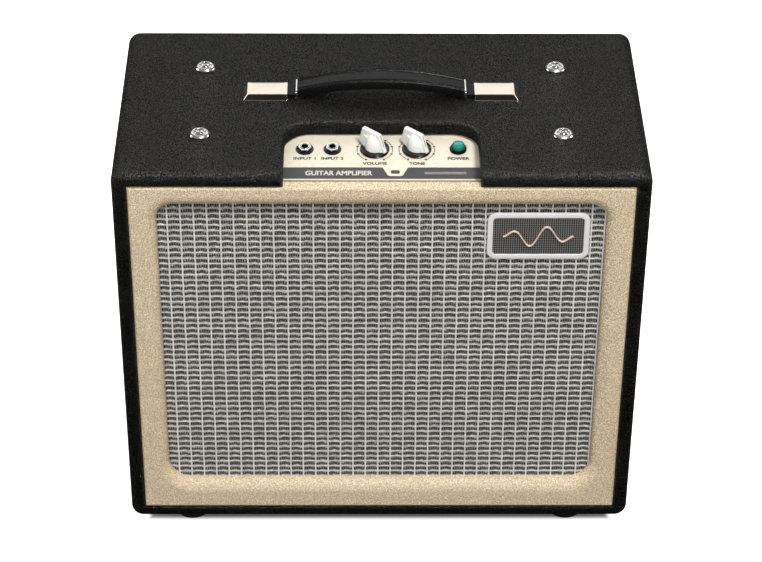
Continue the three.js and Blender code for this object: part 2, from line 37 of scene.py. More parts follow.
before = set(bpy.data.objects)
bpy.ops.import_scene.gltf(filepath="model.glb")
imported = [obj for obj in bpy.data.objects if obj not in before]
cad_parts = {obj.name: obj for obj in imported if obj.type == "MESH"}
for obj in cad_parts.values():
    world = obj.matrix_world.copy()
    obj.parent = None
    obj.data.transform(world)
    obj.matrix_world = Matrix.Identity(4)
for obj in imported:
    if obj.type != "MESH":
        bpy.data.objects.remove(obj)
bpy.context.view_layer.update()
MM = 0.001
CABINET = "cabinet"


# --- Camera ---

CAMERA_TURNS = (0.774, 36.242, 0.486)  # yaw, pitch and roll, in degrees
CAMERA_AT = (-0.0268, -2.0951, 1.7526)  # metres
CAMERA_LENS, CAMERA_SENSOR = 121.98, 36


def linked(name, data):
    """A new object of the scene."""
    made = bpy.data.objects.new(name, data)
    bpy.context.scene.collection.objects.link(made)
    return made


def make_camera():
    yaw, pitch, roll = (radians(a) for a in CAMERA_TURNS)
    forward = Vector((sin(yaw) * cos(pitch), cos(yaw) * cos(pitch), -sin(pitch)))
    right = Vector((cos(yaw), -sin(yaw), 0))
    up = right.cross(forward)
    across = cos(roll) * right + sin(roll) * up
    upright = cos(roll) * up - sin(roll) * right
    data = bpy.data.cameras.new("camera")
    data.sensor_width = CAMERA_SENSOR
    data.lens = CAMERA_LENS
    data.clip_end = 50
    camera = linked("camera", data)
    columns = zip(across, upright, -forward, CAMERA_AT)
    camera.matrix_world = Matrix((*columns, (0, 0, 0, 1)))
    bpy.context.scene.camera = camera


make_camera()


# --- Shader helpers ---

def new_material(name, color, roughness, metallic=0.0, **inputs):
    mat = bpy.data.materials.new(name)
    mat.use_nodes = True
    mat.diffuse_color = (*color, 1)
    shader = mat.node_tree.nodes["Principled BSDF"]
    shader.inputs["Base Color"].default_value = (*color, 1)
    shader.inputs["Roughness"].default_value = roughness
    shader.inputs["Metallic"].default_value = metallic
    for key, value in inputs.items():
        shader.inputs[key.replace("_", " ")].default_value = value
    return mat


def node(mat, kind, inputs=None, **settings):
    made = mat.node_tree.nodes.new(kind)
    for key, value in settings.items():
        setattr(made, key, value)
    for key, value in (inputs or {}).items():
        if isinstance(value, bpy.types.NodeSocket):
            mat.node_tree.links.new(value, made.inputs[key])
        else:
            made.inputs[key].default_value = value
    return made


def calc(mat, operation, a, b=0.0):
    return node(mat, "ShaderNodeMath", {0: a, 1: b}, operation=operation).outputs[0]


def plus(mat, a, b):
    return calc(mat, "ADD", a, b)


def less(mat, a, b):
    return calc(mat, "SUBTRACT", a, b)


def times(mat, a, b):
    return calc(mat, "MULTIPLY", a, b)


def remap(mat, value, low, high, to_low=0.0, to_high=1.0):
    inputs = {"Value": value, "From Min": low, "From Max": high, "To Min": to_low, "To Max": to_high}
    return node(mat, "ShaderNodeMapRange", inputs, interpolation_type="SMOOTHSTEP").outputs[0]


def mix_color(mat, share, a, b):
    made = mat.node_tree.nodes.new("ShaderNodeMix")
    made.data_type = "RGBA"
    for socket, value in ((0, share), (6, a), (7, b)):
        if isinstance(value, bpy.types.NodeSocket):
            mat.node_tree.links.new(value, made.inputs[socket])
        elif socket:
            made.inputs[socket].default_value = (*value, 1)
        else:
            made.inputs[socket].default_value = value
    return made.outputs[2]


def shaded(color, share):
    return tuple(c * share for c in color)


def place(mat):
    return node(mat, "ShaderNodeTexCoord").outputs["Object"]


def noise(mat, where, scale, detail=2.0, roughness=0.5, distortion=0.0):
    inputs = {"Vector": where, "Scale": scale, "Detail": detail}
    inputs.update({"Roughness": roughness, "Distortion": distortion})
    return node(mat, "ShaderNodeTexNoise", inputs).outputs["Fac"]


def stretched(mat, where, x, y, z):
    return node(mat, "ShaderNodeMapping", {"Vector": where, "Scale": (x, y, z)}).outputs[0]


def drive(mat, socket, value):
    mat.node_tree.links.new(value, mat.node_tree.nodes["Principled BSDF"].inputs[socket])


def bump(mat, height, distance, strength=1.0):
    inputs = {"Height": height, "Distance": distance, "Strength": strength}
    raised = node(mat, "ShaderNodeBump", inputs).outputs[0]
    drive(mat, "Normal", raised)
    return raised


# --- Materials ---

def vinyl(name, color, painted_crease_shade, roughness, cell, depth, variation, gloss, lay, **inputs):
    """Pebbled leather-cloth: fine wrinkled pebbles with creases between, the creases painted darker as
    painted shade; gloss is that of the crests.
    """
    mat = new_material(name, color, roughness, **inputs)
    where = place(mat)
    turn = {"Vector": where, "Axis": (-0.6, 0, 0.3), "Angle": lay}
    turned = node(mat, "ShaderNodeVectorRotate", turn).outputs[0]
    laid = stretched(mat, turned, 1, 0.36, 1)
    wrinkle = noise(mat, laid, 1.45 / cell, 0.5, 0.5, 0.7)
    fine = noise(mat, where, 2.4 / cell, 1.0, 0.6)
    height = plus(mat, wrinkle, times(mat, fine, 0.3))
    raised = bump(mat, height, depth)
    if "Coat_Weight" in inputs:
        drive(mat, "Coat Normal", raised)
    broad = noise(mat, where, 14.0, 3.0)
    tint = mix_color(mat, remap(mat, broad, 0.3, 0.7), shaded(color, 1 - variation), color)
    relief = remap(mat, height, 0.54, 0.8)
    # painted shade: the creases take the darker colour, standing in for the shade that falls in them
    drive(mat, "Base Color", mix_color(mat, relief, painted_crease_shade, tint))
    drive(mat, "Specular IOR Level", times(mat, relief, gloss))
    drive(mat, "Roughness", remap(mat, fine, 0.3, 0.7, roughness + 0.08, roughness - 0.06))
    return mat


def metal(name, color, roughness, scratches=0.06, grain=None):
    """Plated or brushed metal with a slightly uneven polish; grain stretches it along an axis."""
    mat = new_material(name, color, roughness, 1.0)
    where = place(mat)
    fine = noise(mat, stretched(mat, where, *grain) if grain else where, 900.0, 3.0, 0.6)
    broad = noise(mat, where, 60.0, 2.0)
    smear = times(mat, fine, broad)
    polished = max(roughness - scratches / 2, 0.02)
    drive(mat, "Roughness", remap(mat, smear, 0.1, 0.5, polished, roughness + scratches))
    drive(mat, "Base Color", mix_color(mat, broad, shaded(color, 0.9), color))
    bump(mat, fine, 0.00001, 0.25 if grain else 0.08)
    return mat


def plastic(name, color, roughness, mottle=0.06, pit=0.00002, **inputs):
    mat = new_material(name, color, roughness, **inputs)
    where = place(mat)
    fine = noise(mat, where, 1800.0, 2.0)
    broad = noise(mat, where, 90.0, 3.0)
    drive(mat, "Base Color", mix_color(mat, broad, shaded(color, 1 - mottle * 2), color))
    drive(mat, "Roughness", remap(mat, broad, 0.3, 0.7, max(roughness - 0.05, 0.03), roughness + 0.05))
    bump(mat, fine, pit, 0.6)
    return mat


def timber(name, pale, dark, roughness):
    """Plywood: a fine grain that runs along X, with broad darker figure."""
    mat = new_material(name, pale, roughness)
    where = place(mat)
    fine = noise(mat, stretched(mat, where, 0.06, 1, 1), 900.0, 4.0, 0.6)
    figure = noise(mat, stretched(mat, where, 0.12, 1, 1), 45.0, 3.0, 0.6, 1.2)
    share = plus(mat, times(mat, fine, 0.5), times(mat, figure, 0.5))
    drive(mat, "Base Color", mix_color(mat, remap(mat, share, 0.35, 0.65), dark, pale))
    bump(mat, fine, 0.0002, 0.5)
    return mat


def leather(name, color, roughness):
    mat = new_material(name, color, roughness, Specular_IOR_Level=0.16)
    where = place(mat)
    cells = node(mat, "ShaderNodeTexVoronoi", {"Vector": where, "Scale": 1500.0}, feature="DISTANCE_TO_EDGE")
    crease = remap(mat, cells.outputs["Distance"], 0.0, 0.25)
    soft = noise(mat, where, 260.0, 4.0, 0.6)
    bump(mat, plus(mat, times(mat, crease, 0.5), soft), 0.00008, 0.7)
    drive(mat, "Roughness", remap(mat, soft, 0.3, 0.7, roughness - 0.07, roughness + 0.09))
    drive(mat, "Base Color", mix_color(mat, soft, shaded(color, 0.7), shaded(color, 1.3)))
    return mat


STRING_PITCH = 12.4
STRING_X0 = -200.3
ROW_PITCH = 6.4
ROW_Z0 = 393.6


def grille_material():
    """Dark woven cloth with silver threads: in each cell an arched dark dash between paler rows."""
    mat = new_material("grille_weave", (0.25, 0.25, 0.24), 0.75, Sheen_Weight=0.2)
    where = place(mat)
    parts = node(mat, "ShaderNodeSeparateXYZ", {0: where})
    x, z = parts.outputs[0], parts.outputs[2]
    wander = noise(mat, stretched(mat, where, 0.5, 1, 1), 240.0, 3.0, 0.6)
    off = times(mat, less(mat, wander, 0.5), 0.55)
    u = calc(mat, "FRACT", calc(mat, "DIVIDE", less(mat, x, STRING_X0 * MM), STRING_PITCH * MM))
    row = calc(mat, "DIVIDE", less(mat, z, ROW_Z0 * MM), ROW_PITCH * MM)
    v = calc(mat, "FRACT", row)
    side = less(mat, times(mat, u, 2.0), 1.0)
    bow = less(mat, 1.0, times(mat, side, side))
    ragged = noise(mat, stretched(mat, where, 0.45, 1, 1), 1300.0, 2.0, 0.7)
    peak = times(mat, calc(mat, "POWER", bow, 5.0), 0.15)
    middle = plus(mat, 0.44, plus(mat, peak, times(mat, off, 0.5)))
    beads = calc(mat, "COSINE", times(mat, side, 2.75 * 2 * pi))
    beads = remap(mat, plus(mat, beads, times(mat, off, 3.0)), -0.9, 0.4)

    def line(centre, half, soft):
        away = calc(mat, "ABSOLUTE", less(mat, v, centre))
        return less(mat, 1.0, remap(mat, less(mat, away, half), 0.0, soft))

    uneven = plus(mat, times(mat, ragged, 0.14), times(mat, beads, 0.2))
    thick = times(mat, remap(mat, bow, 0.06, 0.5), less(mat, uneven, 0.02))
    dash = times(mat, line(middle, thick, 0.06), plus(mat, 0.72, times(mat, beads, 0.28)))
    between = less(mat, 1.0, beads)
    under = line(less(mat, middle, 0.24), 0.05, 0.12)
    under = times(mat, under, plus(mat, 0.25, times(mat, between, 0.75)))
    over = line(plus(mat, middle, 0.23), 0.04, 0.11)
    over = times(mat, over, times(mat, between, remap(mat, wander, 0.4, 0.55)))
    silver = noise(mat, stretched(mat, where, 0.4, 1, 1), 1500.0, 2.0, 0.7)
    cord = noise(mat, stretched(mat, where, 0.25, 1, 1), 620.0, 2.0, 0.6)
    blend = plus(mat, times(mat, silver, 0.6), times(mat, cord, 0.4))
    light = remap(mat, blend, 0.38, 0.6)
    base = mix_color(mat, light, (0.13, 0.121, 0.104), (0.72, 0.695, 0.635))
    darker = mix_color(mat, calc(mat, "MAXIMUM", under, over), base, (0.085, 0.079, 0.067))
    drive(mat, "Base Color", mix_color(mat, dash, darker, (0.004, 0.0032, 0.0022)))
    height = less(mat, times(mat, light, 0.5), times(mat, dash, 0.8))
    bump(mat, height, 0.0005, 0.8)
    return mat


def mesh_field_material():
    """Fine pale wire mesh over black."""
    mat = new_material("badge_mesh", (0.2, 0.2, 0.2), 0.4, 0.6)
    where = place(mat)
    parts = node(mat, "ShaderNodeSeparateXYZ", {0: where})
    lines = []
    for axis in (0, 2):
        turns = times(mat, parts.outputs[axis], 2 * pi / 0.0021)
        lines.append(calc(mat, "SINE", turns))
    wire = calc(mat, "MAXIMUM", lines[0], lines[1])
    share = remap(mat, wire, 0.55, 0.95)
    drive(mat, "Base Color", mix_color(mat, share, (0.01, 0.01, 0.01), (0.5, 0.49, 0.46)))
    bump(mat, wire, 0.0001, 0.5)
    return mat


def glass(name, color, roughness):
    """Blown glass: faint ripples, under a bloom that lies unevenly."""
    mat = new_material(name, color, roughness, Transmission_Weight=0.94, IOR=1.47)
    where = place(mat)
    bloom = remap(mat, noise(mat, where, 90, 3.0), 0.35, 0.75, roughness, roughness + 0.12)
    drive(mat, "Roughness", bloom)
    bump(mat, noise(mat, where, 260, 1.0), 0.0001)
    return mat


def lamination_material():
    mat = new_material("laminations", (0.05, 0.05, 0.055), 0.45, 0.7)
    where = place(mat)
    y = node(mat, "ShaderNodeSeparateXYZ", {0: where}).outputs[1]
    sheets = calc(mat, "SINE", times(mat, y, 2 * pi / 0.0009))
    rust = noise(mat, where, 120.0, 3.0)
    drive(mat, "Base Color", mix_color(mat, rust, (0.02, 0.02, 0.022), (0.11, 0.10, 0.095)))
    bump(mat, sheets, 0.0001, 0.8)
    return mat


# each vinyl's second colour is painted shade for its creases
BLACK_VINYL = vinyl(
    "black_vinyl", (0.0072, 0.0072, 0.0057), (0.0003, 0.0003, 0.0002), 0.26,
    0.00108, 0.0011, 0.05, 0.88, 0.73,
    Specular_Tint=(1, 0.99, 0.9, 1), Coat_Weight=0.2, Coat_Roughness=0.12,
)
CREAM_VINYL = vinyl(
    "cream_vinyl", (0.97, 0.785, 0.55), (0.47, 0.376, 0.252), 0.42, 0.0011, 0.0008, 0.03, 0.4, -0.8,
)
LINING = timber("black_ply", (0.022, 0.019, 0.016), (0.011, 0.01, 0.009), 0.8)
PLY = timber("birch_ply", (0.42, 0.27, 0.14), (0.26, 0.155, 0.075), 0.7)
LEATHER = leather("black_leather", (0.005, 0.005, 0.0052), 0.22)
THREAD = plastic("black_thread", (0.004, 0.004, 0.004), 0.6, Specular_IOR_Level=0.2)
NICKEL = metal("nickel_plate", (0.84, 0.75, 0.63), 0.13, 0.06)
CHROME = metal("bright_chrome", (0.82, 0.81, 0.79), 0.1, 0.06)
CUP_NICKEL = metal("cup_nickel", (0.80, 0.79, 0.77), 0.24, 0.1)
ZINC = metal("zinc_plate", (0.46, 0.46, 0.45), 0.36, 0.12, (0.08, 1, 1))
ALUMINIUM = metal("can_aluminium", (0.62, 0.62, 0.62), 0.32, 0.1, (1, 1, 0.1))
PANEL_CREAM = plastic(
    "panel_enamel", (0.72, 0.655, 0.52), 0.3, 0.006, 0.00001, Coat_Weight=0.3, Coat_Roughness=0.15,
)
PRINT_DARK = plastic("print_dark", (0.055, 0.053, 0.055), 0.45, 0.05)
PRINT_BLACK = plastic("print_black", (0.02, 0.018, 0.017), 0.5)
PRINT_PALE = plastic("print_pale", (0.66, 0.62, 0.53), 0.45)
BLACK_GLOSS = plastic("black_gloss", (0.006, 0.006, 0.007), 0.12, 0.02, 0.000005)
BLACK_MATTE = plastic("black_moulding", (0.014, 0.014, 0.015), 0.5)
BROWN_BAKELITE = plastic("brown_bakelite", (0.03, 0.014, 0.008), 0.35)
IVORY = plastic(
    "ivory_plastic", (0.84, 0.82, 0.76), 0.3, 0.03, 0.00001, Subsurface_Weight=0.15, Subsurface_Scale=0.002,
)
RUBBER = plastic("foot_rubber", (0.012, 0.012, 0.012), 0.75, 0.1, 0.00006)
JEWEL = plastic(
    "jewel_green", (0.012, 0.26, 0.215), 0.08, 0.15, 0.00001, Coat_Weight=1.0, Coat_Roughness=0.03,
)
STRING = plastic("pale_string", (0.84, 0.83, 0.79), 0.6, 0.12, 0.00005, Sheen_Weight=0.2)
SILVER = plastic("silver_thread", (0.82, 0.80, 0.75), 0.4, 0.3, 0.00008, Metallic=0.15)
BADGE_RIM = plastic("badge_enamel", (0.74, 0.735, 0.725), 0.25, 0.02, Coat_Weight=0.5)
ROSE_PAINT = plastic("rose_paint", (0.72, 0.52, 0.44), 0.35)
GRILLE = grille_material()
BADGE_MESH = mesh_field_material()
PAPER = plastic("cone_paper", (0.03, 0.026, 0.023), 0.9, 0.2, 0.00015)
CLOTH = plastic("treated_cloth", (0.02, 0.017, 0.014), 0.8, 0.2, 0.0002)
BASKET = plastic("basket_paint", (0.013, 0.013, 0.014), 0.42, 0.05, 0.00005)
FERRITE = plastic("ferrite", (0.028, 0.028, 0.031), 0.6, 0.15, 0.0001)
IRON = plastic("transformer_black", (0.012, 0.012, 0.013), 0.38, 0.1, 0.00004)
GLASS = glass("tube_glass", (0.93, 0.96, 0.95), 0.03)
GETTER = metal("getter_flash", (0.55, 0.56, 0.58), 0.12)
PLATE_GREY = plastic("plate_grey", (0.06, 0.06, 0.062), 0.55, 0.1)
MICA = plastic("mica", (0.62, 0.58, 0.5), 0.4, 0.1)
LAMINATIONS = lamination_material()


# --- Mesh helpers ---
# A part is (points, faces), in millimetres.

def merge(*parts):
    points, faces = [], []
    for more_points, more_faces in parts:
        start = len(points)
        points.extend(more_points)
        faces.extend([tuple(i + start for i in face) for face in more_faces])
    return points, faces


def moved(part, matrix):
    return [tuple(matrix @ Vector(p)) for p in part[0]], part[1]


def shifted(part, x, y, z):
    return moved(part, Matrix.Translation((x, y, z)))


def grid(rows, closed_across=False, closed_along=False):
    """Quads between rows of points of one length."""
    n, m = len(rows), len(rows[0])
    faces = []
    for i in range(n if closed_along else n - 1):
        for j in range(m if closed_across else m - 1):
            a, b = i * m, ((i + 1) % n) * m
            k = (j + 1) % m
            faces.append((a + j, a + k, b + k, b + j))
    return [tuple(p) for row in rows for p in row], faces


def lathe(profile, segments=48):
    """A profile of (radius, z) turned about Z."""
    rows = []
    for i in range(segments):
        a = radians(360.0 * i / segments)
        rows.append([(r * cos(a), r * sin(a), z) for r, z in profile])
    return grid(rows, False, True)


def ring(profile, segments=48):
    """A closed profile of (radius, z) turned about Z."""
    return lathe([*profile, profile[0]], segments)


def loop(rows_of_sections, capped=True):
    """A skin through closed sections, with its ends filled."""
    points, faces = grid(rows_of_sections, True)
    m = len(rows_of_sections[0])
    if capped:
        faces = [*faces, tuple(range(m)), tuple(range(len(points) - m, len(points)))]
    return points, faces


def tube(path, radius, segments=8, squeeze=1.0):
    """A round wire along points; squeeze flattens it in the direction across its first bend."""
    rows = []
    path = [Vector(p) for p in path]
    reference = Vector((0, 1, 0)) if abs((path[1] - path[0]).normalized().y) < 0.9 else Vector((1, 0, 0))
    for i, p in enumerate(path):
        along = (path[min(i + 1, len(path) - 1)] - path[max(i - 1, 0)]).normalized()
        side = along.cross(reference).normalized()
        out = side.cross(along)
        turn = [2 * pi * k / segments for k in range(segments)]
        rows.append([p + radius * (cos(a) * side + squeeze * sin(a) * out) for a in turn])
    return loop(rows)


def prism(outline, z0, z1):
    return loop([[(x, y, z0) for x, y in outline], [(x, y, z1) for x, y in outline]])


def circle(radius, segments=48, start=0.0):
    turns = [start + 2 * pi * i / segments for i in range(segments)]
    return [(radius * cos(a), radius * sin(a)) for a in turns]


def rounded_rect(x0, x1, y0, y1, radius, steps=6):
    """Corner points in order, anticlockwise from the lower right; radius may be one per corner."""
    radii = radius if isinstance(radius, (list, tuple)) else [radius] * 4
    corners = [(x1, y0, -90), (x1, y1, 0), (x0, y1, 90), (x0, y0, 180)]
    points = []
    for (x, y, start), r in zip(corners, radii):
        cx = x - r if x == x1 else x + r
        cy = y - r if y == y1 else y + r
        for i in range(steps + 1):
            a = radians(start + 90 * i / steps)
            points.append((cx + r * cos(a), cy + r * sin(a)))
    return points


def box(x0, x1, y0, y1, z0, z1, bevel=0.5, steps=2):
    """A block with its edges rounded."""
    def along(low, high, share):
        return (low + high) / 2 + share * (high - low)

    bm = bmesh.new()
    bmesh.ops.create_cube(bm, size=1)
    for v in bm.verts:
        v.co = Vector((along(x0, x1, v.co.x), along(y0, y1, v.co.y), along(z0, z1, v.co.z)))
    if bevel:
        bmesh.ops.bevel(bm, geom=bm.edges[:], offset=bevel, segments=steps, affect="EDGES", profile=0.5)
    return from_bmesh(bm)


def from_bmesh(bm):
    bm.verts.index_update()
    part = [tuple(v.co) for v in bm.verts], [tuple(v.index for v in f.verts) for f in bm.faces]
    bm.free()
    return part


def to_bmesh(part, scale=1.0, weld=0.004):
    bm = bmesh.new()
    verts = [bm.verts.new(Vector(p) * scale) for p in part[0]]
    for face in part[1]:
        if len(set(face)) == len(face):
            bm.faces.new([verts[i] for i in face])
    bmesh.ops.remove_doubles(bm, verts=bm.verts[:], dist=weld * scale)
    bmesh.ops.dissolve_degenerate(bm, edges=bm.edges[:], dist=weld * scale / 4)
    loose = [v for v in bm.verts if not v.link_faces]
    bmesh.ops.delete(bm, geom=loose, context="VERTS")
    bmesh.ops.recalc_face_normals(bm, faces=bm.faces[:])
    return bm


def round_edges(bm, edges, offset, segments, clamp):
    options = {"affect": "EDGES", "profile": 0.5, "clamp_overlap": clamp}
    bmesh.ops.bevel(bm, geom=edges, offset=offset, segments=segments, **options)


SHARP = radians(30)


def chamfered(part, offset, segments=2):
    """The part with its sharp edges rounded."""
    bm = to_bmesh(part)
    sharp = [e for e in bm.edges if len(e.link_faces) == 2 and e.calc_face_angle() > SHARP]
    round_edges(bm, sharp, offset, segments, True)
    return from_bmesh(bm)


def shade(bm, angle):
    for f in bm.faces:
        f.smooth = True
    for e in bm.edges:
        e.smooth = not (len(e.link_faces) == 2 and e.calc_face_angle() > radians(angle))


def piece(
    name, part, material, body=CABINET, replaces=(), angle=35, flat_faces=True, bm=None,
):
    """A visible piece; flat_faces keeps rounded edges from shading its large flat faces."""
    bm = bm or to_bmesh(part, MM)
    shade(bm, angle)
    mesh = bpy.data.meshes.new(name)
    bm.to_mesh(mesh)
    bm.free()
    mesh.materials.append(material)
    made = linked(name, mesh)
    if flat_faces:
        weighted = made.modifiers.new("normals", "WEIGHTED_NORMAL")
        weighted.keep_sharp = True
        weighted.weight = 60
    if body:
        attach(made, body)
    if replaces:
        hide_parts(*replaces)
    if material in (CHROME, CUP_NICKEL, NICKEL):
        made.visible_diffuse = False
        made.visible_glossy = material is not NICKEL
    return made


def work_object(bm):
    mesh = bpy.data.meshes.new("work")
    bm.to_mesh(mesh)
    bm.free()
    return linked("work", mesh)


def taken_back(made, *others):
    """A work object with its modifiers applied, as a bmesh; the objects are removed."""
    evaluated = made.evaluated_get(bpy.context.evaluated_depsgraph_get())
    result = bmesh.new()
    result.from_mesh(evaluated.to_mesh())
    evaluated.to_mesh_clear()
    for used in (made, *others):
        mesh = used.data
        bpy.data.objects.remove(used)
        bpy.data.meshes.remove(mesh)
    return result


def boolean(bm, cutter, operation="DIFFERENCE"):
    """A bmesh less another one, or joined or crossed with it, as a new bmesh."""
    base, tool = work_object(bm), work_object(cutter)
    modifier = base.modifiers.new("cut", "BOOLEAN")
    modifier.operation = operation
    modifier.object = tool
    modifier.solver = "EXACT"
    return taken_back(base, tool)


def cut(part, tool):
    """A part less another one."""
    return from_bmesh(boolean(to_bmesh(part), to_bmesh(tool)))


BACKWARD = Matrix.Rotation(radians(-90), 4, "X")  # turns +Z to +Y
PANEL = Matrix.Translation((0, -40, 416)) @ Matrix.Rotation(radians(6), 4, "X")


def behind(x, y, z):
    """Turned to face backward, and placed."""
    return Matrix.Translation((x, y, z)) @ BACKWARD


def mirrored(part):
    return [(-x, y, z) for x, y, z in part[0]], [tuple(reversed(f)) for f in part[1]]


# --- Cabinet ---

HALF_W, FRONT, BACK = 250.0, -130.0, 130.0
FLOOR, TOP, BOARD = 15.0, 432.0, 14.0
SIDE_R, FACE_R, INNER_R = 12.0, 9.0, 2.0
NOTCH_HALF, NOTCH_BACK, NOTCH_R, NOTCH_ROUND = 91.3, -39.5, 25.0, 4.0


def arc(cx, cy, r, start, end, steps):
    turns = [radians(start + (end - start) * i / steps) for i in range(steps + 1)]
    return [(cx + r * cos(a), cy + r * sin(a)) for a in turns]


def wall_outline(inward):
    """The cabinet's outline in X and Z, moved inward."""
    middle_z = (FLOOR + TOP) / 2
    half_z = (TOP - FLOOR) / 2
    points = []
    for sx, sz, start in ((1, -1, -90), (1, 1, 0), (-1, 1, 90), (-1, -1, 180)):
        r = max(SIDE_R - inward, 0.0)
        cx = sx * (HALF_W - max(inward, SIDE_R))
        cz = sz * (half_z - max(inward, SIDE_R))
        points.extend((x, middle_z + z) for x, z in arc(cx, cz, r, start, start + 90, 8))
    return points


def notch_gap(co):
    """How far a point is from the notch's wall, in plan."""
    x, y = abs(co.x), co.y
    cx, cy = NOTCH_HALF - NOTCH_R, NOTCH_BACK - NOTCH_R
    if x > cx and y > cy:
        return abs(hypot(x - cx, y - cy) - NOTCH_R)
    from_side = abs(x - NOTCH_HALF) if y <= cy + 0.01 else 99
    from_back = abs(y - NOTCH_BACK) if x <= cx + 0.01 else 99
    return min(from_side, from_back)


def notch_rim(bm):
    """The sharp upper edges round the notch."""
    rim = []
    for e in bm.edges:
        if len(e.link_faces) != 2 or min(v.co.z for v in e.verts) < TOP - BOARD - 0.5:
            continue
        if max(notch_gap(v.co) for v in e.verts) > 0.05:
            continue
        if max(v.co.z for v in e.verts) < TOP - BOARD + 0.5:
            continue
        if e.calc_face_angle() > radians(50):
            rim.append(e)
    return rim


def make_cabinet():
    section = [
        *arc(FACE_R, FRONT + FACE_R, FACE_R, 180, 270, 8),
        *arc(BOARD - INNER_R, FRONT + INNER_R, INNER_R, -90, 0, 4),
        (BOARD, -112.0),
        (BOARD, 96.0),
        *arc(BOARD - INNER_R, BACK - INNER_R, INNER_R, 0, 90, 4),
        *arc(FACE_R, BACK - FACE_R, FACE_R, 90, 180, 8),
    ]
    rows = [[(x, y, z) for x, z in wall_outline(inward)] for inward, y in section]
    shell = to_bmesh(grid(rows, True, True))
    notch = [
        (-NOTCH_HALF, FRONT - 2), (NOTCH_HALF, FRONT - 2),
        *arc(NOTCH_HALF - NOTCH_R, NOTCH_BACK - NOTCH_R, NOTCH_R, 0, 90, 12),
        *arc(-NOTCH_HALF + NOTCH_R, NOTCH_BACK - NOTCH_R, NOTCH_R, 90, 180, 12),
    ]
    bm = boolean(shell, to_bmesh(prism(notch, TOP - BOARD - 3, TOP + 3)))
    bmesh.ops.remove_doubles(bm, verts=bm.verts[:], dist=0.01)
    round_edges(bm, notch_rim(bm), NOTCH_ROUND, 6, False)
    for f in bm.faces:
        centre = f.calc_center_median()
        between_sides = abs(centre.x) < HALF_W - BOARD + 0.1
        inside = between_sides and FLOOR + BOARD - 0.1 < centre.z < TOP - BOARD + 0.1
        f.material_index = 1 if inside and -113 < centre.y < 97 else 0
    bmesh.ops.scale(bm, vec=(MM, MM, MM), verts=bm.verts[:])
    boards = ("top_board", "bottom_board", "left_board", "right_board")
    shell = piece("cabinet_shell", None, BLACK_VINYL, replaces=boards, bm=bm)
    shell.data.materials.append(LINING)


def make_feet():
    profile = [
        (0, 2.4), (5, 2.4), (5.6, 0.6), (6.4, 0), (15.6, 0), (16.8, 0.5), (17.2, 1.6),
        (17.6, 8), (18, 12.6), (17.6, 14.2), (16.4, 14.9), (0, 14.9),
    ]
    for end, y in (("front", -97), ("rear", 97)):
        for side, x in (("left", -190), ("right", 190)):
            piece(
                f"rubber_foot_{end}_{side}", shifted(lathe(profile), x, y, 0), RUBBER,
                replaces=(f"foot_{end}_{side}",),
            )
            head = lathe([(0, 1.2), (2.6, 1.3), (3.9, 1.9), (4.2, 2.5), (0, 2.5)], 24)
            piece(f"foot_screw_{end}_{side}", shifted(head, x, y, 0), ZINC)


# --- Front ---

FRAME_Y0, FRAME_Y1 = -129.5, -118.5
OPEN_X, OPEN_Z0, OPEN_Z1 = 210.0, 61.0, 395.0
ROLL_W, ROLL_D = 13.0, 9.5


def ring_points(outward):
    """The opening's outline, moved outward. Its upper corners are tighter than its lower ones."""
    low, high = 24.0 + outward, 17.0 + outward
    wide = OPEN_X + outward
    return even_outline(-wide, wide, OPEN_Z0 - outward, OPEN_Z1 + outward, (low, high, high, low))


def even_outline(x0, x1, z0, z1, radii):
    """A rounded rectangle with points along its straight sides too."""
    steps, along = 10, 14
    corners = rounded_rect(x0, x1, z0, z1, radii, steps)
    points = []
    for k in range(4):
        corner = corners[k * (steps + 1):(k + 1) * (steps + 1)]
        following = corners[((k + 1) % 4) * (steps + 1)]
        points.extend(corner)
        for i in range(1, along):
            t = i / along
            points.append(tuple(a + (b - a) * t for a, b in zip(corner[-1], following)))
    return points


def make_frame():
    def outer(inward):
        wide, radius = 235.4 - inward, max(1.5 - inward, 0.3)
        return even_outline(-wide, wide, 29.6 + inward, 417.4 - inward, (radius,) * 4)

    edge = 3.0
    rows = [[(x, FRAME_Y1, z) for x, z in outer(0)]]
    for inward, y in arc(edge, FRAME_Y0 + edge, edge, 180, 270, 6):
        rows.append([(x, y, z) for x, z in outer(inward)])
    for outward, y in arc(1.0, 1.0, 1.0, 270, 180, 14):
        rows.append([(x, FRAME_Y0 + ROLL_D * y, z) for x, z in ring_points(ROLL_W * outward)])
    rows.append([(x, FRAME_Y1, z) for x, z in ring_points(0)])
    piece(
        "covered_baffle_frame", grid(rows, True, True), CREAM_VINYL, replaces=("baffle_frame",),
        angle=50,
    )


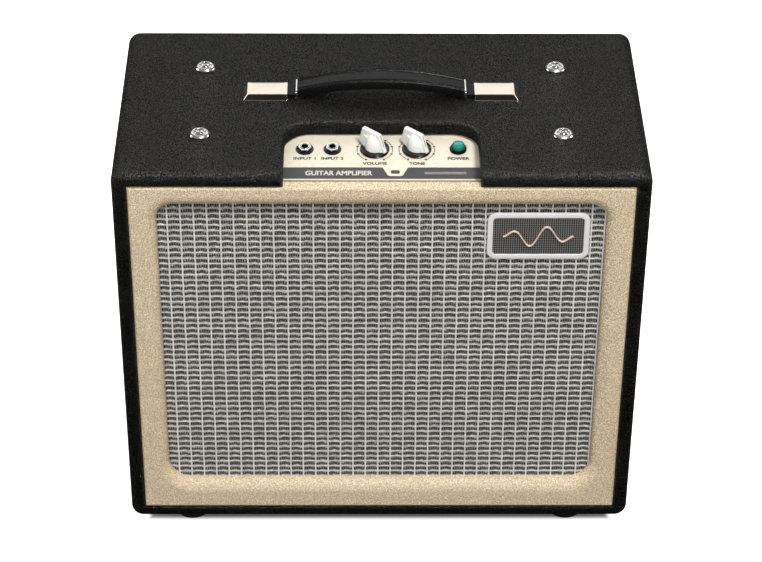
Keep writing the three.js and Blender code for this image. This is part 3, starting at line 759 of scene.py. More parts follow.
def make_grille():
    """The cloth is one stretched sheet; its pale strings and rows of silver thread lie proud of it."""
    random = np.random.default_rng(7)
    half, z0, z1, y = 228.0, 36.0, 400.0, -117.6
    nx, nz = 120, 96
    rows = []
    for i in range(nz + 1):
        z = z0 + (z1 - z0) * i / nz
        row = []
        for j in range(nx + 1):
            ripple = 0.12 * sin(j * 2.2) * cos(i * 1.9)
            row.append((-half + 2 * half * j / nx, y + ripple, z))
        rows.append(row)
    sheet = piece(
        "grille_cloth_sheet", grid(rows), GRILLE, replaces=("grille_cloth",), flat_faces=False,
    )

    strings, threads = [], []
    low, high = OPEN_Z0 - 14, OPEN_Z1 + 4
    xs = [STRING_X0 + STRING_PITCH * k for k in range(-1, 34)]
    rows_z = [ROW_Z0 - ROW_PITCH * k for k in range(-1, 56)]
    rows_z = [z for z in rows_z if low < z < high]
    for x in xs:
        path = []
        for z in rows_z:
            drift = 0.12 * random.standard_normal()
            path.append((x + drift, y - 0.5, z))
            path.append((x + drift * 0.5, y - 0.78, z - ROW_PITCH / 2))
        strings.append(tube(path, 0.68, 6, 0.6))
    for z in rows_z:
        path = []
        for x in xs:
            lift = 0.16 * random.standard_normal(3)
            path.append((x, y - 0.18, z + lift[0]))
            path.append((x + STRING_PITCH / 3, y - 0.48, z + lift[1] + 0.12))
            path.append((x + STRING_PITCH * 2 / 3, y - 0.48, z + lift[2] + 0.12))
        threads.append(tube(path[:-2], 0.52, 5, 0.7))
    pale = piece("grille_strings", merge(*strings), STRING, flat_faces=False, angle=180)
    silver = piece("grille_threads", merge(*threads), SILVER, flat_faces=False, angle=180)


def make_badge():
    """A plain rounded plate: a pale rim round a field of fine mesh, with a wave across it."""
    centre = Matrix.Translation((147, -118.6, 357)) @ Matrix.Rotation(radians(90), 4, "X")
    layers = [(0, 0), (0, 1.5), (0.4, 2.1), (1.2, 2.4), (4.6, 2.4), (5.2, 2.1), (5.4, 1.2)]
    rows = []
    for inward, z in layers:
        outline = rounded_rect(-48 + inward, 48 - inward, -26 + inward, 26 - inward, max(9 - inward, 2), 8)
        rows.append([(x, y, z) for x, y in outline])
    piece("badge_rim", moved(loop(rows), centre), BADGE_RIM, replaces=("badge",))
    field = prism(rounded_rect(-42.8, 42.8, -20.8, 20.8, 4, 6), 1.2, 1.5)
    piece("badge_field", moved(field, centre), BADGE_MESH)
    path = []
    for i in range(73):
        t = i / 72
        height = 11.5 * sin(t * 2 * pi * 2) * sin(t * pi) ** 0.8
        path.append((-33 + 66 * t, height, 2.0))
    wave = tube(path, 1.5, 10, 0.5)
    piece("badge_wave", moved(wave, centre), ROSE_PAINT, angle=60)


# --- Handle ---

HANDLE_Y, GRIP_HALF = 10.0, 80.0


def grip_point(x):
    """Height of the strap's top above the top board, and how much narrower each side is there."""
    t = abs(x) / 79.0
    return 22 - 10.7 * t ** 1.9, 2.0 * t


def strap_section():
    half = [
        (0, 0), (4, -0.05), (7, -0.15), (8.4, -0.45), (8.95, -0.85), (9.3, -1.15), (9.65, -0.85),
        (10.1, -0.35), (10.8, -0.05), (11.7, -0.2), (12.5, -0.9), (12.95, -2.2), (12.9, -4.8),
        (12.6, -6.9), (12.3, -7.9), (12.45, -8.5), (12.0, -9.2), (11.0, -9.5), (6, -9.5), (0, -9.5),
    ]
    return [*half, *[(-v, w) for v, w in reversed(half[1:-1])]]


def strap_frame(x):
    top, narrow = grip_point(x)
    slope = (grip_point(x + 0.5)[0] - grip_point(x - 0.5)[0])
    along = Vector((1, 0, slope)).normalized()
    return Vector((x, HANDLE_Y, TOP + top)), Vector((-along.z, 0, along.x)), 1 - narrow / 13


def make_handle():
    section = strap_section()
    for side, sign in (("left", -1), ("right", 1)):
        rows, stitches = [], []
        steps = 36
        for i in range(steps + 1):
            x = GRIP_HALF * i / steps
            centre, up, wide = strap_frame(x)
            rows.append([centre + Vector((0, v * wide, 0)) + up * w for v, w in section])
        strap = loop(rows, False)
        part = strap if sign > 0 else mirrored(strap)
        made = piece(f"handle_strap_{side}", part, LEATHER, body=None, angle=60, flat_faces=False)
        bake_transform(made)
        if sign > 0:
            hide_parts("handle_grip")
        pitch = 3.9
        for k in range(20):
            x = 1.6 + pitch * k
            if x > GRIP_HALF - 5:
                break
            for v in (-9.3, 9.3):
                run = []
                for t in (-1.25, -0.7, 0, 0.7, 1.25):
                    centre, up, wide = strap_frame(x + t)
                    dip = -1.15 + 0.36 * (1 - abs(t) / 1.25)
                    run.append(centre + Vector((0, v * wide, 0)) + up * dip)
                stitches.append(tube(run, 0.34, 6))
        part = merge(*stitches) if sign > 0 else mirrored(merge(*stitches))
        made = piece(f"handle_stitching_{side}", part, THREAD, body=None, angle=180, flat_faces=False)
        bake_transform(made)
        make_handle_end(side, sign)


def make_handle_end(side, sign):
    def shape(part):
        return shifted(part if sign > 0 else mirrored(part), 0, HANDLE_Y, TOP)

    outline = rounded_rect(-12.7, 12.7, 1.5, 10.0, (2.2, 3.6, 3.6, 2.2), 6)
    rows = []
    for y, z in outline:
        out = Vector((0, y, z - 5.75)).normalized()
        rows.append([
            Vector((80.7, y, z)) + Vector((1.0 * cos(a), 0, 0)) + out * (0.95 * sin(a))
            for a in [2 * pi * k / 10 for k in range(10)]
        ])
    collar = grid(rows, True, True)
    piece(
        f"handle_collar_{side}", shape(collar), CHROME, replaces=(f"handle_end_{side}",), angle=60,
    )
    ribs = [box(81.6, 92.5, -9.6, 9.6, 2.2, 5.2, 0.5)]
    for k in range(4):
        ribs.append(box(82.4 + 2.1 * k, 83.7 + 2.1 * k, -10.2, 10.2, 2.0, 6.0, 0.4))
    piece(f"handle_rib_{side}", shape(merge(*ribs)), LEATHER)

    x0, x1, half = 89.0, 131.7, 13.5
    rows = []
    for inner, outer, across, z, r in (
        (0.5, 0.5, 0.5, 0.35, 0.8), (0, 0, 0, 0.8, 1.0), (0.5, 0.5, 0.5, 1.35, 1.0),
        (0.7, 3.4, 1.8, 5.7, 1.2), (0.6, 3.7, 2.1, 6.3, 1.3),
        (1.2, 4.3, 2.7, 6.6, 1.5), (3, 6.2, 4.4, 6.8, 1.8), (9, 12, 9, 7.05, 2.0), (15, 17, 12.4, 7.1, 0.6),
    ):
        wide = half - across
        outline = rounded_rect(x0 + inner, x1 - outer, -wide, wide, min(r, wide * 0.9), 4)
        rows.append([(x, y, z) for x, y in outline])
    piece(
        f"nickel_cap_{side}", shape(loop(rows)), NICKEL, replaces=(f"handle_cap_{side}",), angle=28,
    )


# --- Screws ---

def cross_head(radius, height, z):
    """An oval screw head with a cross recess."""
    profile = [(0, z), (radius * 0.55, z), (radius * 0.94, z + height * 0.25), (radius, z + height * 0.42)]
    for a in np.linspace(0.12, pi / 2, 9):
        profile.append((radius * cos(a), z + height * (0.45 + 0.55 * sin(a))))
    head = to_bmesh(lathe(profile, 32))
    arms = []
    for turn in (0.4, 0.4 + pi / 2):
        long, thin = radius * 0.55, radius * 0.13
        arm = box(-long, long, -thin, thin, z + height * 0.45, z + height * 2, 0)
        arms.append(moved(arm, Matrix.Rotation(turn, 4, "Z")))
    for arm in arms:
        head = boolean(head, to_bmesh(arm))
    return from_bmesh(head)


def make_bolts():
    cup = [
        (3.2, 0.35), (9.5, 0.35), (9.75, 0.7), (9.6, 1.3), (8.6, 2.4), (7.4, 3.1), (6.6, 3.2),
        (6.1, 2.9), (5.7, 2.0), (5.3, 1.3), (3.2, 1.2),
    ]
    head = cross_head(4.6, 3.4, 1.4)
    for side, x in (("left", -170.5), ("right", 170.5)):
        for end, y in (("front", -61.5), ("rear", 57.5)):
            piece(
                f"cup_{end}_{side}", shifted(ring(cup), x, y, TOP), CUP_NICKEL,
                replaces=(f"cup_washer_{end}_{side}",), angle=40,
            )
            piece(
                f"screw_{end}_{side}", shifted(head, x, y, TOP), CHROME,
                replaces=(f"chassis_screw_{end}_{side}",), angle=40,
            )


# --- Control panel ---

CONTROL_S = -19.8  # the line of the controls, along the panel
KNOBS = {"volume": -6.2, "tone": 33.4}
JACKS = (-72.2, -46.1)
LAMP_X = 72.4
POINTER = 129.0  # where both pointers stand, in degrees
PRINT_Z = 0.04  # how far the print lies above the panel


def on_panel(part, x=0.0, s=0.0, z=0.0):
    return moved(shifted(part, x, s, z), PANEL)


def at_control(part, x):
    """Placed on the line of the panel's controls."""
    return on_panel(part, x, CONTROL_S)


def flat_print(name, outline_parts, material):
    return piece(name, on_panel(merge(*outline_parts), 0, 0, PRINT_Z), material, flat_faces=False)


def slab(outline, thick=0.06):
    return prism(outline, 0, thick)


def lettering(name, text, x, s, width, height, material, weight=0.0):
    """Plain capitals of a given width and height, centred on a point of the panel."""
    data = bpy.data.curves.new(name, "FONT")
    data.body = text
    data.size = 10
    data.resolution_u = 3
    work = linked(name, data)
    mesh = bpy.data.meshes.new_from_object(work.evaluated_get(bpy.context.evaluated_depsgraph_get()))
    bpy.data.objects.remove(work)
    bpy.data.curves.remove(data)
    points = np.array([v.co for v in mesh.vertices])
    low, high = points.min(0), points.max(0)
    points[:, 0] = (points[:, 0] - (low[0] + high[0]) / 2) * width / (high[0] - low[0]) + x
    points[:, 1] = (points[:, 1] - (low[1] + high[1]) / 2) * height / (high[1] - low[1]) + s
    faces = [tuple(p.vertices) for p in mesh.polygons]
    bpy.data.meshes.remove(mesh)
    copies = [
        ([(p[0] + across * weight, p[1] + along * weight, PRINT_Z + 0.09 + 0.004 * k) for p in points], faces)
        for k, (across, along) in enumerate(((-1, -1), (1, -1), (1, 1), (-1, 1), (0, 0)))
    ]
    part = merge(*copies)
    bm = to_bmesh(moved(part, PANEL), MM, 0.0005)
    piece(name, None, material, bm=bm, flat_faces=False)


def annulus(x, s, inner, outer, start, end):
    """Part of a flat ring, between two angles from the top."""
    section = ((inner, 0), (outer, 0), (outer, 0.06), (inner, 0.06))
    steps = 10
    rows = []
    for i in range(steps + 1):
        a = radians(90 - (start + (end - start) * i / steps))
        rows.append([(x + r * cos(a), s + r * sin(a), z) for r, z in section])
    return loop(rows)


def make_panel():
    plate = box(-100, 100, -77, 10, -1.5, 0, 0.25)
    holes = [(x, 4.8) for x in JACKS] + [(x, 4.8) for x in KNOBS.values()] + [(LAMP_X, 5.8)]
    bm = to_bmesh(plate)
    for x, r in holes:
        bm = boolean(bm, to_bmesh(shifted(prism(circle(r), -4, 4), x, CONTROL_S, 0)))
    part = on_panel(from_bmesh(bm))
    made = piece("panel_plate", part, PANEL_CREAM, replaces=("control_panel",))
    made.visible_diffuse = False
    made.visible_glossy = False


def make_print():
    """The dark band with its tab, its rules, and the plain words that replace the maker's."""
    top, low, edge = -46.0, -62.6, 92.5
    tab = [
        (0.2, top), (1.2, top - 0.7), (5.6, -57.2), (7.6, -58.6), (18.0, -58.6), (20.0, -57.2),
        (24.4, top - 0.7), (25.4, top),
    ]
    band = [(-edge, low), (edge, low), (edge, top), *reversed(tab), (-edge, top)]
    flat_print("printed_band", [slab(band)], PRINT_DARK)
    flat_print(
        "printed_dark_rule", [slab([(-edge, -66.6), (edge, -66.6), (edge, -65.0), (-edge, -65.0)])],
        PRINT_DARK,
    )
    rules = [[(40, s), (79, s), (79, s + 0.5), (40, s + 0.5)] for s in (-53.4, -55.6)]
    made = flat_print("printed_pale_rules", [slab(r, 0.06) for r in rules], PRINT_PALE)
    made.data.transform(Matrix.Translation(PANEL.to_3x3() @ Vector((0, 0, 0.09)) * MM))
    flat_print("printed_tab_rule", [slab(rounded_rect(8.6, 17.0, -55.2, -50.0, 1.4, 4))], PRINT_DARK)

    lettering("label_input_1", "INPUT 1", JACKS[0], -32.9, 20.5, 3.7, PRINT_BLACK, 0.17)
    lettering("label_input_2", "INPUT 2", JACKS[1], -32.9, 20.5, 3.7, PRINT_BLACK, 0.17)
    lettering("label_volume", "VOLUME", KNOBS["volume"], -40.2, 22.6, 3.8, PRINT_BLACK, 0.18)
    lettering("label_tone", "TONE", KNOBS["tone"], -40.2, 14.6, 3.8, PRINT_BLACK, 0.18)
    lettering("label_power", "POWER", LAMP_X, -32.9, 20.0, 3.7, PRINT_BLACK, 0.17)
    lettering("label_band", "GUITAR AMPLIFIER", -40, -54.3, 62, 6.4, PRINT_PALE, 0.22)


def make_dials():
    for name, x in KNOBS.items():
        marks = []
        for k in range(9):
            angle = -150 + 37.5 * k
            a = radians(90 - angle)
            across, along = x + 16.9 * cos(a), CONTROL_S + 16.9 * sin(a)
            dot = [(across + u, along + v) for u, v in circle(1.2, 14)]
            marks.append(slab(dot))
            if k < 8:
                marks.append(annulus(x, CONTROL_S, 16.4, 17.15, angle + 6.5, angle + 31))
        flat_print(f"dial_{name}", marks, PRINT_BLACK)


def make_jacks():
    washer = [(4.8, 0.1), (8.2, 0.1), (8.45, 0.35), (8.4, 0.8), (7.9, 1.15), (4.8, 1.2)]
    bush = [
        (3.2, -4), (3.2, 4.2), (3.4, 4.4), (4.0, 4.4), (4.4, 4.1), (4.35, 3.9), (4.35, 1.0),
        (4.6, 0), (4.6, -4),
    ]
    sleeve = [(3.2, -20), (3.2, 0.5), (4.0, 0.5), (4.0, -24), (0, -24), (0, -20)]
    body = [(4.6, -3.8), (7.4, -3.8), (7.5, -4.4), (7.5, -25.2), (6.8, -25.8), (4.6, -25.8)]
    for i, (x, turn) in enumerate(zip(JACKS, (0, 20)), 1):
        name = f"input_jack_{i}"
        outline = circle(6.6, 6, radians(turn))
        nut = to_bmesh(chamfered(prism(outline, 1.25, 4.0), 0.25, 1))
        dome = to_bmesh(lathe([(0, 1), (6.9, 1), (6.9, 3.3), (5.9, 4.1), (0, 4.1)], 48))
        nut = boolean(nut, dome, "INTERSECT")
        nut = boolean(nut, to_bmesh(prism(circle(4.4), 0, 6)))
        piece(
            f"{name}_nut", at_control(from_bmesh(nut), x), CHROME, replaces=(name,),
            angle=30,
        )
        piece(f"{name}_bush", at_control(ring(bush), x), CHROME, angle=40)
        piece(f"{name}_washer", at_control(ring(washer), x), BLACK_GLOSS)
        piece(f"{name}_sleeve", at_control(lathe(sleeve), x), BLACK_MATTE, angle=40)
        piece(f"{name}_body", at_control(ring(body, 32), x), BLACK_MATTE, angle=40)


def make_knobs():
    """The pointer knob: a tall fin over a round hub, run together and smoothed."""
    top, base = 20.9, 2.75
    sides = [(-18.2, base), (-13.9, top), (6.2, top - 0.3), (13.3, base)]
    fin = loop([[(u, y, z) for u, z in sides] for y in (-2.2, 2.2)])
    flare = []
    turns = np.linspace(0, 2 * pi, 40, endpoint=False)
    for z, length, width in (
        (base, 9.3, 9.1), (5.5, 9.3, 8.7), (9, 8.9, 7.9), (12.5, 8.0, 6.6), (15.5, 6.4, 5.0),
        (17.6, 4.4, 3.4), (18.8, 2.4, 2.3),
    ):
        flare.append([(length * cos(a) - 0.2, width * sin(a), z) for a in turns])
    hub = loop(flare)
    skirt = []
    for z, r in ((base, 1.0), (8, 0.86), (14, 0.7)):
        outline = [
            (-17.4 * r, -2.2), (-9 * r, -5.6 * r), (2, -7.5 * r), (10 * r, -3.4 * r), (12.9 * r, 0),
            (10 * r, 3.4 * r), (2, 7.5 * r), (-9 * r, 5.6 * r), (-17.4 * r, 2.2),
        ]
        skirt.append([(u, v, z) for u, v in outline])
    made = work_object(to_bmesh(merge(fin, hub, loop(skirt))))
    remesh = made.modifiers.new("remesh", "REMESH")
    remesh.mode = "VOXEL"
    remesh.voxel_size = 0.42
    smooth = made.modifiers.new("smooth", "SMOOTH")
    smooth.factor = 0.6
    smooth.iterations = 9
    knob = from_bmesh(taken_back(made))
    disc = [
        (0, 0.45), (13.5, 0.45), (13.85, 0.75), (13.85, 1.3), (13.5, 1.75), (12.6, 2.1), (9.6, 2.4),
        (0, 2.4),
    ]
    turn = Matrix.Rotation(radians(90 - POINTER), 4, "Z")
    slope = atan2(top - 0.3 - base, 13.3 - 6.2)
    line = box(0.3, 12.5, -0.32, 0.32, -0.2, 0.1, 0)
    line = moved(line, Matrix.Translation((6.25, 0, top - 0.32)) @ Matrix.Rotation(slope, 4, "Y"))
    for name, x in KNOBS.items():
        body = f"{name}_control"
        piece(
            f"pointer_knob_{name}", at_control(moved(knob, turn), x), IVORY, body,
            (f"knob_{name}",), 180, False,
        )
        piece(f"pointer_line_{name}", at_control(moved(line, turn), x), PRINT_BLACK, body)
        piece(
            f"knob_disc_{name}", at_control(lathe(disc, 64), x), BLACK_GLOSS, body,
            (f"knob_skirt_{name}",),
        )


def make_lamp():
    bezel = [
        (6.0, 1.0), (6.0, 3.0), (6.3, 3.4), (6.9, 3.4), (7.6, 2.8), (7.95, 1.8), (7.95, 0.35),
        (5.5, 0.35), (5.5, -3.8), (7.0, -3.8), (7.0, -27), (0, -27), (0, 1.0),
    ]
    piece(
        "lamp_housing", at_control(lathe(bezel, 56), LAMP_X), BLACK_GLOSS,
        replaces=("lamp_bezel",), angle=40,
    )
    rings = [(0, 1.4), (5.9, 1.4), (6.1, 4.4), (6.1, 5.6), (5.4, 6.9), (4.2, 7.6), (2.6, 8.0), (0, 8.1)]
    rows = []
    count = 12
    for i in range(count * 2):
        a = pi * i / count
        wave = 1.0 if i % 2 == 0 else 0.955
        rows.append([(r * wave * cos(a), r * wave * sin(a), z) for r, z in rings])
    piece(
        "faceted_jewel", at_control(grid(rows, False, True), LAMP_X), JEWEL,
        replaces=("lamp_jewel",), angle=8, flat_faces=False,
    )


# --- Back ---

SMALL_HEAD = cross_head(3.4, 2.4, 0.7)


def wood_screw(x, y, z):
    """A raised-head screw with its cup washer, seen from behind."""
    cup = ring(
        [(2.4, 0), (6.4, 0), (6.5, 0.5), (5.2, 1.6), (4.3, 1.9), (3.9, 1.4), (3.6, 0.9), (2.4, 0.8)],
        32,
    )
    return moved(merge(cup, SMALL_HEAD), behind(x, y, z))


def make_back():
    front, back = 117.0, 127.0
    for name, z0, z1 in (("lower", 30.0, 133.0), ("upper", 277.0, 361.0)):
        panel_part = box(-235, 235, front, back, z0, z1, 2.2, 4)
        piece(
            f"covered_{name}_panel", panel_part, BLACK_VINYL, replaces=(f"{name}_back_panel",),
        )
        screws = []
        for x in (-226.5, 226.5):
            for z in (z0 + 14, z1 - 14):
                screws.append(wood_screw(x, back, z))
        piece(f"{name}_panel_screws", merge(*screws), CHROME, angle=40)
    for side, x in (("left", -226.7), ("right", 226.7)):
        batten = box(x - 9, x + 9, 98.7, 116.7, 29.3, 359, 0.8)
        piece(f"batten_{side}", batten, PLY, replaces=(f"back_cleat_{side}",))


def dress(node_name, material):
    """A CAD node that stays keeps its shape and takes this material."""
    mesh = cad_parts[node_name].data
    mesh.materials.clear()
    mesh.materials.append(material)


SPEAKER_AT = (0, -104.4, 201)  # the middle of the basket's front
SPEAKER_HOLE, CONE_R = 140.0, 124.0


def facing_back(part):
    """Placed on the speaker's axis, which runs backward."""
    return moved(part, behind(*SPEAKER_AT))


def make_basket():
    hole = SPEAKER_HOLE
    flange = [
        (hole - 1, 0), (150, 0), (151, 0.6), (151, 2.6), (150.2, 3.2), (144, 3.4), (141.5, 5),
        (hole - 3, 8), (132.5, 21), (131, 22.5), (129, 22), (130, 20), (hole - 4, 6), (hole - 2, 2),
    ]
    seat = [
        (79, 62), (83, 64.5), (82.5, 66.5), (67, 70.5), (66.5, 77.4), (65.6, 78), (36.6, 78),
        (36, 77.4), (36, 75.6), (36.6, 75), (61.4, 75), (62, 74.4), (62, 67.5), (63.5, 66.2),
        (78, 62.4),
    ]
    parts = [ring(flange, 96), ring(seat, 96)]
    for k in range(8):
        middle = 45.0 * k
        rows = []
        for i in range(9):
            t = i / 8
            r, z = 131 + (81 - 131) * t, 21.5 + (64.5 - 21.5) * t
            half = max(22.5 - degrees(asin(18 / r)), 3.5)
            section = []
            for a, depth in (
                (-half, 2.6), (-half * 0.8, 2.6), (-half * 0.7, 1.2), (half * 0.7, 1.2),
                (half * 0.8, 2.6), (half, 2.6), (half, 0), (-half, 0),
            ):
                angle = radians(middle + a)
                out = r + depth * 0.6
                section.append((out * cos(angle), out * sin(angle), z + depth * 0.8))
            rows.append(section)
        parts.append(loop(rows))
    piece(
        "pressed_basket", facing_back(merge(*parts)), BASKET, replaces=("speaker_basket",),
        angle=35,
    )
    screws = []
    for k in range(8):
        a = radians(22.5 + 45 * k)
        screws.append(shifted(cross_head(4.2, 2.8, 3.3), 145.8 * cos(a), 145.8 * sin(a), 0))
    piece("speaker_screws", facing_back(merge(*screws)), ZINC, angle=40)


def make_magnet():
    top_plate = [(20, 78.3), (57.4, 78.3), (58, 78.9), (58, 83.6), (57.4, 84.2), (20, 84.2)]
    magnet = [(20, 84.2), (66, 84.2), (67, 85.2), (67, 103), (66, 104), (20, 104)]
    back_plate = [
        (0, 104), (57.2, 104), (58, 104.8), (57.6, 108.6), (56, 110), (30, 110), (28, 109.2),
        (9, 109.2), (8, 108.4), (5, 108), (0, 108),
    ]
    piece(
        "magnet_ring", facing_back(ring(magnet, 96)), FERRITE, replaces=("speaker_magnet",),
    )
    piece("magnet_top_plate", facing_back(ring(top_plate, 96)), ZINC)
    piece("magnet_back_plate", facing_back(lathe(back_plate, 96)), ZINC)


def make_cone():
    outer, steps = CONE_R, 44
    front = []
    for i in range(steps + 1):
        t = i / steps
        r = 26 + (outer - 26) * t
        ribbing = 0.25 * sin(t * 60) * (1 if 0.2 < t < 0.9 else 0.3)
        z = 52 - 48 * t - 3.2 * sin(pi * t) + ribbing
        front.append((r, z))
    cone = [*front, *[(r, z + 1.2) for r, z in reversed(front)]]
    cone = [*cone[:-1], (27.4, 54), (27.4, 68), (26, 68)]
    piece(
        "paper_cone", facing_back(ring(cone, 96)), PAPER, "cone", ("speaker_cone",), 50, False,
    )
    dome = [(27 * cos(a), 50.2 - 12 * sin(a)) for a in np.linspace(0, pi / 2, 12)]
    inner_dome = [(26 * cos(a), 51.4 - 12 * sin(a)) for a in np.linspace(pi / 2, 0, 12)]
    piece(
        "dust_dome", facing_back(lathe([*inner_dome, *dome], 64)), PAPER, "cone", ("dust_cap",), 50,
        False,
    )


def make_surround():
    outer, hole = CONE_R, SPEAKER_HOLE
    roll = []
    for i in range(33):
        t = i / 32
        r = outer + 0.4 + (hole - 4.6 - outer) * t
        roll.append((r, 3.4 - 2.0 * abs(sin(pi * 2 * t)) + 0.6 * t))
    surround = [*roll, *[(r, z + 0.7) for r, z in reversed(roll)]]
    piece(
        "cloth_surround", facing_back(ring(surround, 96)), CLOTH, replaces=("speaker_surround",),
        angle=60, flat_faces=False,
    )


def make_spider():
    spider = []
    for i in range(49):
        t = i / 48
        spider.append((29.5 + 31 * t, 66.4 + 0.9 * sin(t * 2 * pi * 6)))
    spider = [*spider, *[(r, z + 0.5) for r, z in reversed(spider)]]
    piece("speaker_spider", facing_back(ring(spider, 96)), CLOTH, angle=60, flat_faces=False)


def make_speaker_trim():
    inner = SPEAKER_HOLE + 1
    gasket = [(inner, -0.28), (149.5, -0.28), (149.5, 0), (inner, 0)]
    piece("speaker_gasket", facing_back(ring(gasket, 96)), BLACK_MATTE)
    terminal = [box(-12, 12, 66.8, 69.2, 66, 77, 0.3)]
    for x in (-7, 7):
        terminal.append(box(x - 1.6, x + 1.6, 69.0, 75.5, 70, 71, 0.2))
    piece("speaker_terminals", facing_back(merge(*terminal)), BROWN_BAKELITE)


UNDER = 364.7  # the chassis's underside


def make_transformer(name, x, y, length, width, height):
    """A laminated core between two end bells, with its bolts, hung under the chassis."""
    half, core, low = length / 2, width / 4, UNDER - height
    laminations = box(x - half, x + half, y - core, y + core, low, UNDER, 0.6)
    bells = []
    for sign in (-1, 1):
        rows = []
        for out, inset in ((0, 0), (width / 4 * 0.75, 1.5), (width / 4 * 0.95, 4.5), (width / 4, 9)):
            x0, x1 = x - half * 0.72 + inset, x + half * 0.72 - inset
            z0, z1 = low + height * 0.14 + inset, UNDER - height * 0.14 - inset
            outline = rounded_rect(x0, x1, z0, z1, 6, 6)
            rows.append([(px, y + sign * (core + out), pz) for px, pz in outline])
        bells.append(loop(rows))
    bolts = []
    for sx in (-1, 1):
        for sz in (-1, 1):
            for sy in (-1, 1):
                bolt = lathe([(0, 0), (4.2, 0), (4.2, 1), (2.9, 1.2), (2.9, 3.4), (2.2, 4), (0, 4)], 6)
                turn = BACKWARD if sy > 0 else Matrix.Rotation(radians(90), 4, "X")
                at = (x + sx * (half - 7), y + sy * core, (low + UNDER) / 2 + sz * (height / 2 - 7))
                bolts.append(moved(bolt, Matrix.Translation(at) @ turn))
    piece(f"{name}_core", laminations, LAMINATIONS, replaces=(name,))
    piece(f"{name}_bells", merge(*bells), IRON)
    piece(f"{name}_bolts", merge(*bolts), ZINC)


def make_tube(i, name, x, radius, length):
    """A valve that hangs from its socket, with what shows through its glass."""
    y, top = 76.0, 365.0
    socket = [
        (0, 6), (9, 6), (9.5, 5.4), (9.5, 1.6), (11.9, 1.4), (11.9, -0.4), (13.4, -0.5),
        (13.5, -3.6), (12.4, -4.6), (10.8, -4.9), (0, -4.9),
    ]
    piece(
        f"socket_{i}", shifted(lathe(socket), x, y, top), BROWN_BAKELITE,
        replaces=(f"tube_socket_{i}",),
    )
    low = -5.4
    shell = [
        (0, low - length), (1.2, low - length + 0.3), (1.6, low - length + 2.2),
        (3.4, low - length + 4), (radius * 0.62, low - length + 6),
    ]
    shell += [
        (radius * 0.88, low - length + 8.6), (radius, low - length + 13), (radius, low - 3.2),
        (radius - 0.6, low - 1.2), (radius - 2, low - 0.2), (0, low - 0.2),
    ]
    piece(
        f"{name}_envelope", shifted(lathe(shell, 40), x, y, top), GLASS, replaces=(name,),
        angle=60, flat_faces=False,
    )
    z0, z1 = low - length + 16, low - 8
    plates = [box(-5.6, 5.6, -2.6, 2.6, z0, z1, 0.5), box(-1, 1, -4.6, 4.6, z0 + 1, z1 - 1, 0.3)]
    piece(f"{name}_plates", shifted(merge(*plates), x, y, top), PLATE_GREY)
    micas = [prism(circle(radius - 1.6, 32), z, z + 0.5) for z in (z0 - 1, z1 + 0.6)]
    piece(f"{name}_micas", shifted(merge(*micas), x, y, top), MICA)
    turns = np.linspace(0, 2 * pi, 25)
    halo = tube([(5 * cos(a), 5 * sin(a), z0 - 4.5) for a in turns], 0.4, 6)
    piece(f"{name}_getter", shifted(halo, x, y, top), GETTER, angle=180, flat_faces=False)


def make_can():
    can = [
        (0, -52), (11.4, -52), (12.2, -51.4), (12.5, -50.4), (12.5, -4), (12.1, -3.4), (12.5, -2.8),
        (12.5, 0), (0, 0),
    ]
    piece(
        "capacitor_can", shifted(lathe(can), -64, 76, UNDER), ALUMINIUM,
        replaces=("filter_capacitor",),
    )


APRON, REAR_Z = 113.0, 392.0  # the chassis's rear apron, and the height of what sits on it


def make_inlet():
    apron, x, z = APRON, 140.0, REAR_Z
    flange = box(x - 16, x + 16, apron + 0.3, apron + 3, z - 12.5, z + 12.5, 0.9, 3)
    housing = box(x - 14, x + 14, apron - 24, apron + 1, z - 10, z + 10, 0.5)
    bm = boolean(to_bmesh(flange), to_bmesh(housing), "UNION")
    outline = [
        (x - 11.5, z - 7.5), (x + 11.5, z - 7.5), (x + 11.5, z + 4.2), (x + 8.2, z + 7.5),
        (x - 8.2, z + 7.5), (x - 11.5, z + 4.2),
    ]
    socket = loop([[(px, y, pz) for px, pz in outline] for y in (apron - 15, apron + 5)])
    bm = boolean(bm, to_bmesh(socket))
    housing = from_bmesh(bm)
    piece("inlet_housing", housing, BLACK_MATTE, replaces=("mains_inlet",))
    pins = []
    for px, pz in ((x - 7, z - 2), (x + 7, z - 2), (x, z + 2.5)):
        pins.append(box(px - 2, px + 2, apron - 15, apron - 2, pz - 1, pz + 1, 0.4))
    piece("inlet_pins", merge(*pins), ZINC)
    screws = [moved(SMALL_HEAD, behind(x + dx, apron + 1.6, z)) for dx in (-13.6, 13.6)]
    piece("inlet_screws", merge(*screws), ZINC, angle=40)


def make_switch():
    apron, x, z = APRON, 92.0, REAR_Z
    pivot = behind(x, apron, z)
    nut = chamfered(prism(circle(8.2, 6), 0.35, 2.6), 0.3, 1)
    nut = cut(nut, prism(circle(6.0), -1, 5))
    piece("switch_nut", moved(nut, pivot), ZINC, angle=30)
    dress("power_switch", ZINC)
    lever = [
        (0, -2), (1.6, -1.6), (2, -0.6), (2, 3.5), (2.5, 6), (3.1, 9), (3.0, 10.6), (2.2, 11.7),
        (0, 12),
    ]
    tilt = Matrix.Translation((x, apron + 3, z)) @ Matrix.Rotation(radians(-102), 4, "X")
    piece(
        "switch_bat", moved(lathe(lever, 28), tilt), CHROME, "switch_lever",
        ("power_switch_lever",),
    )


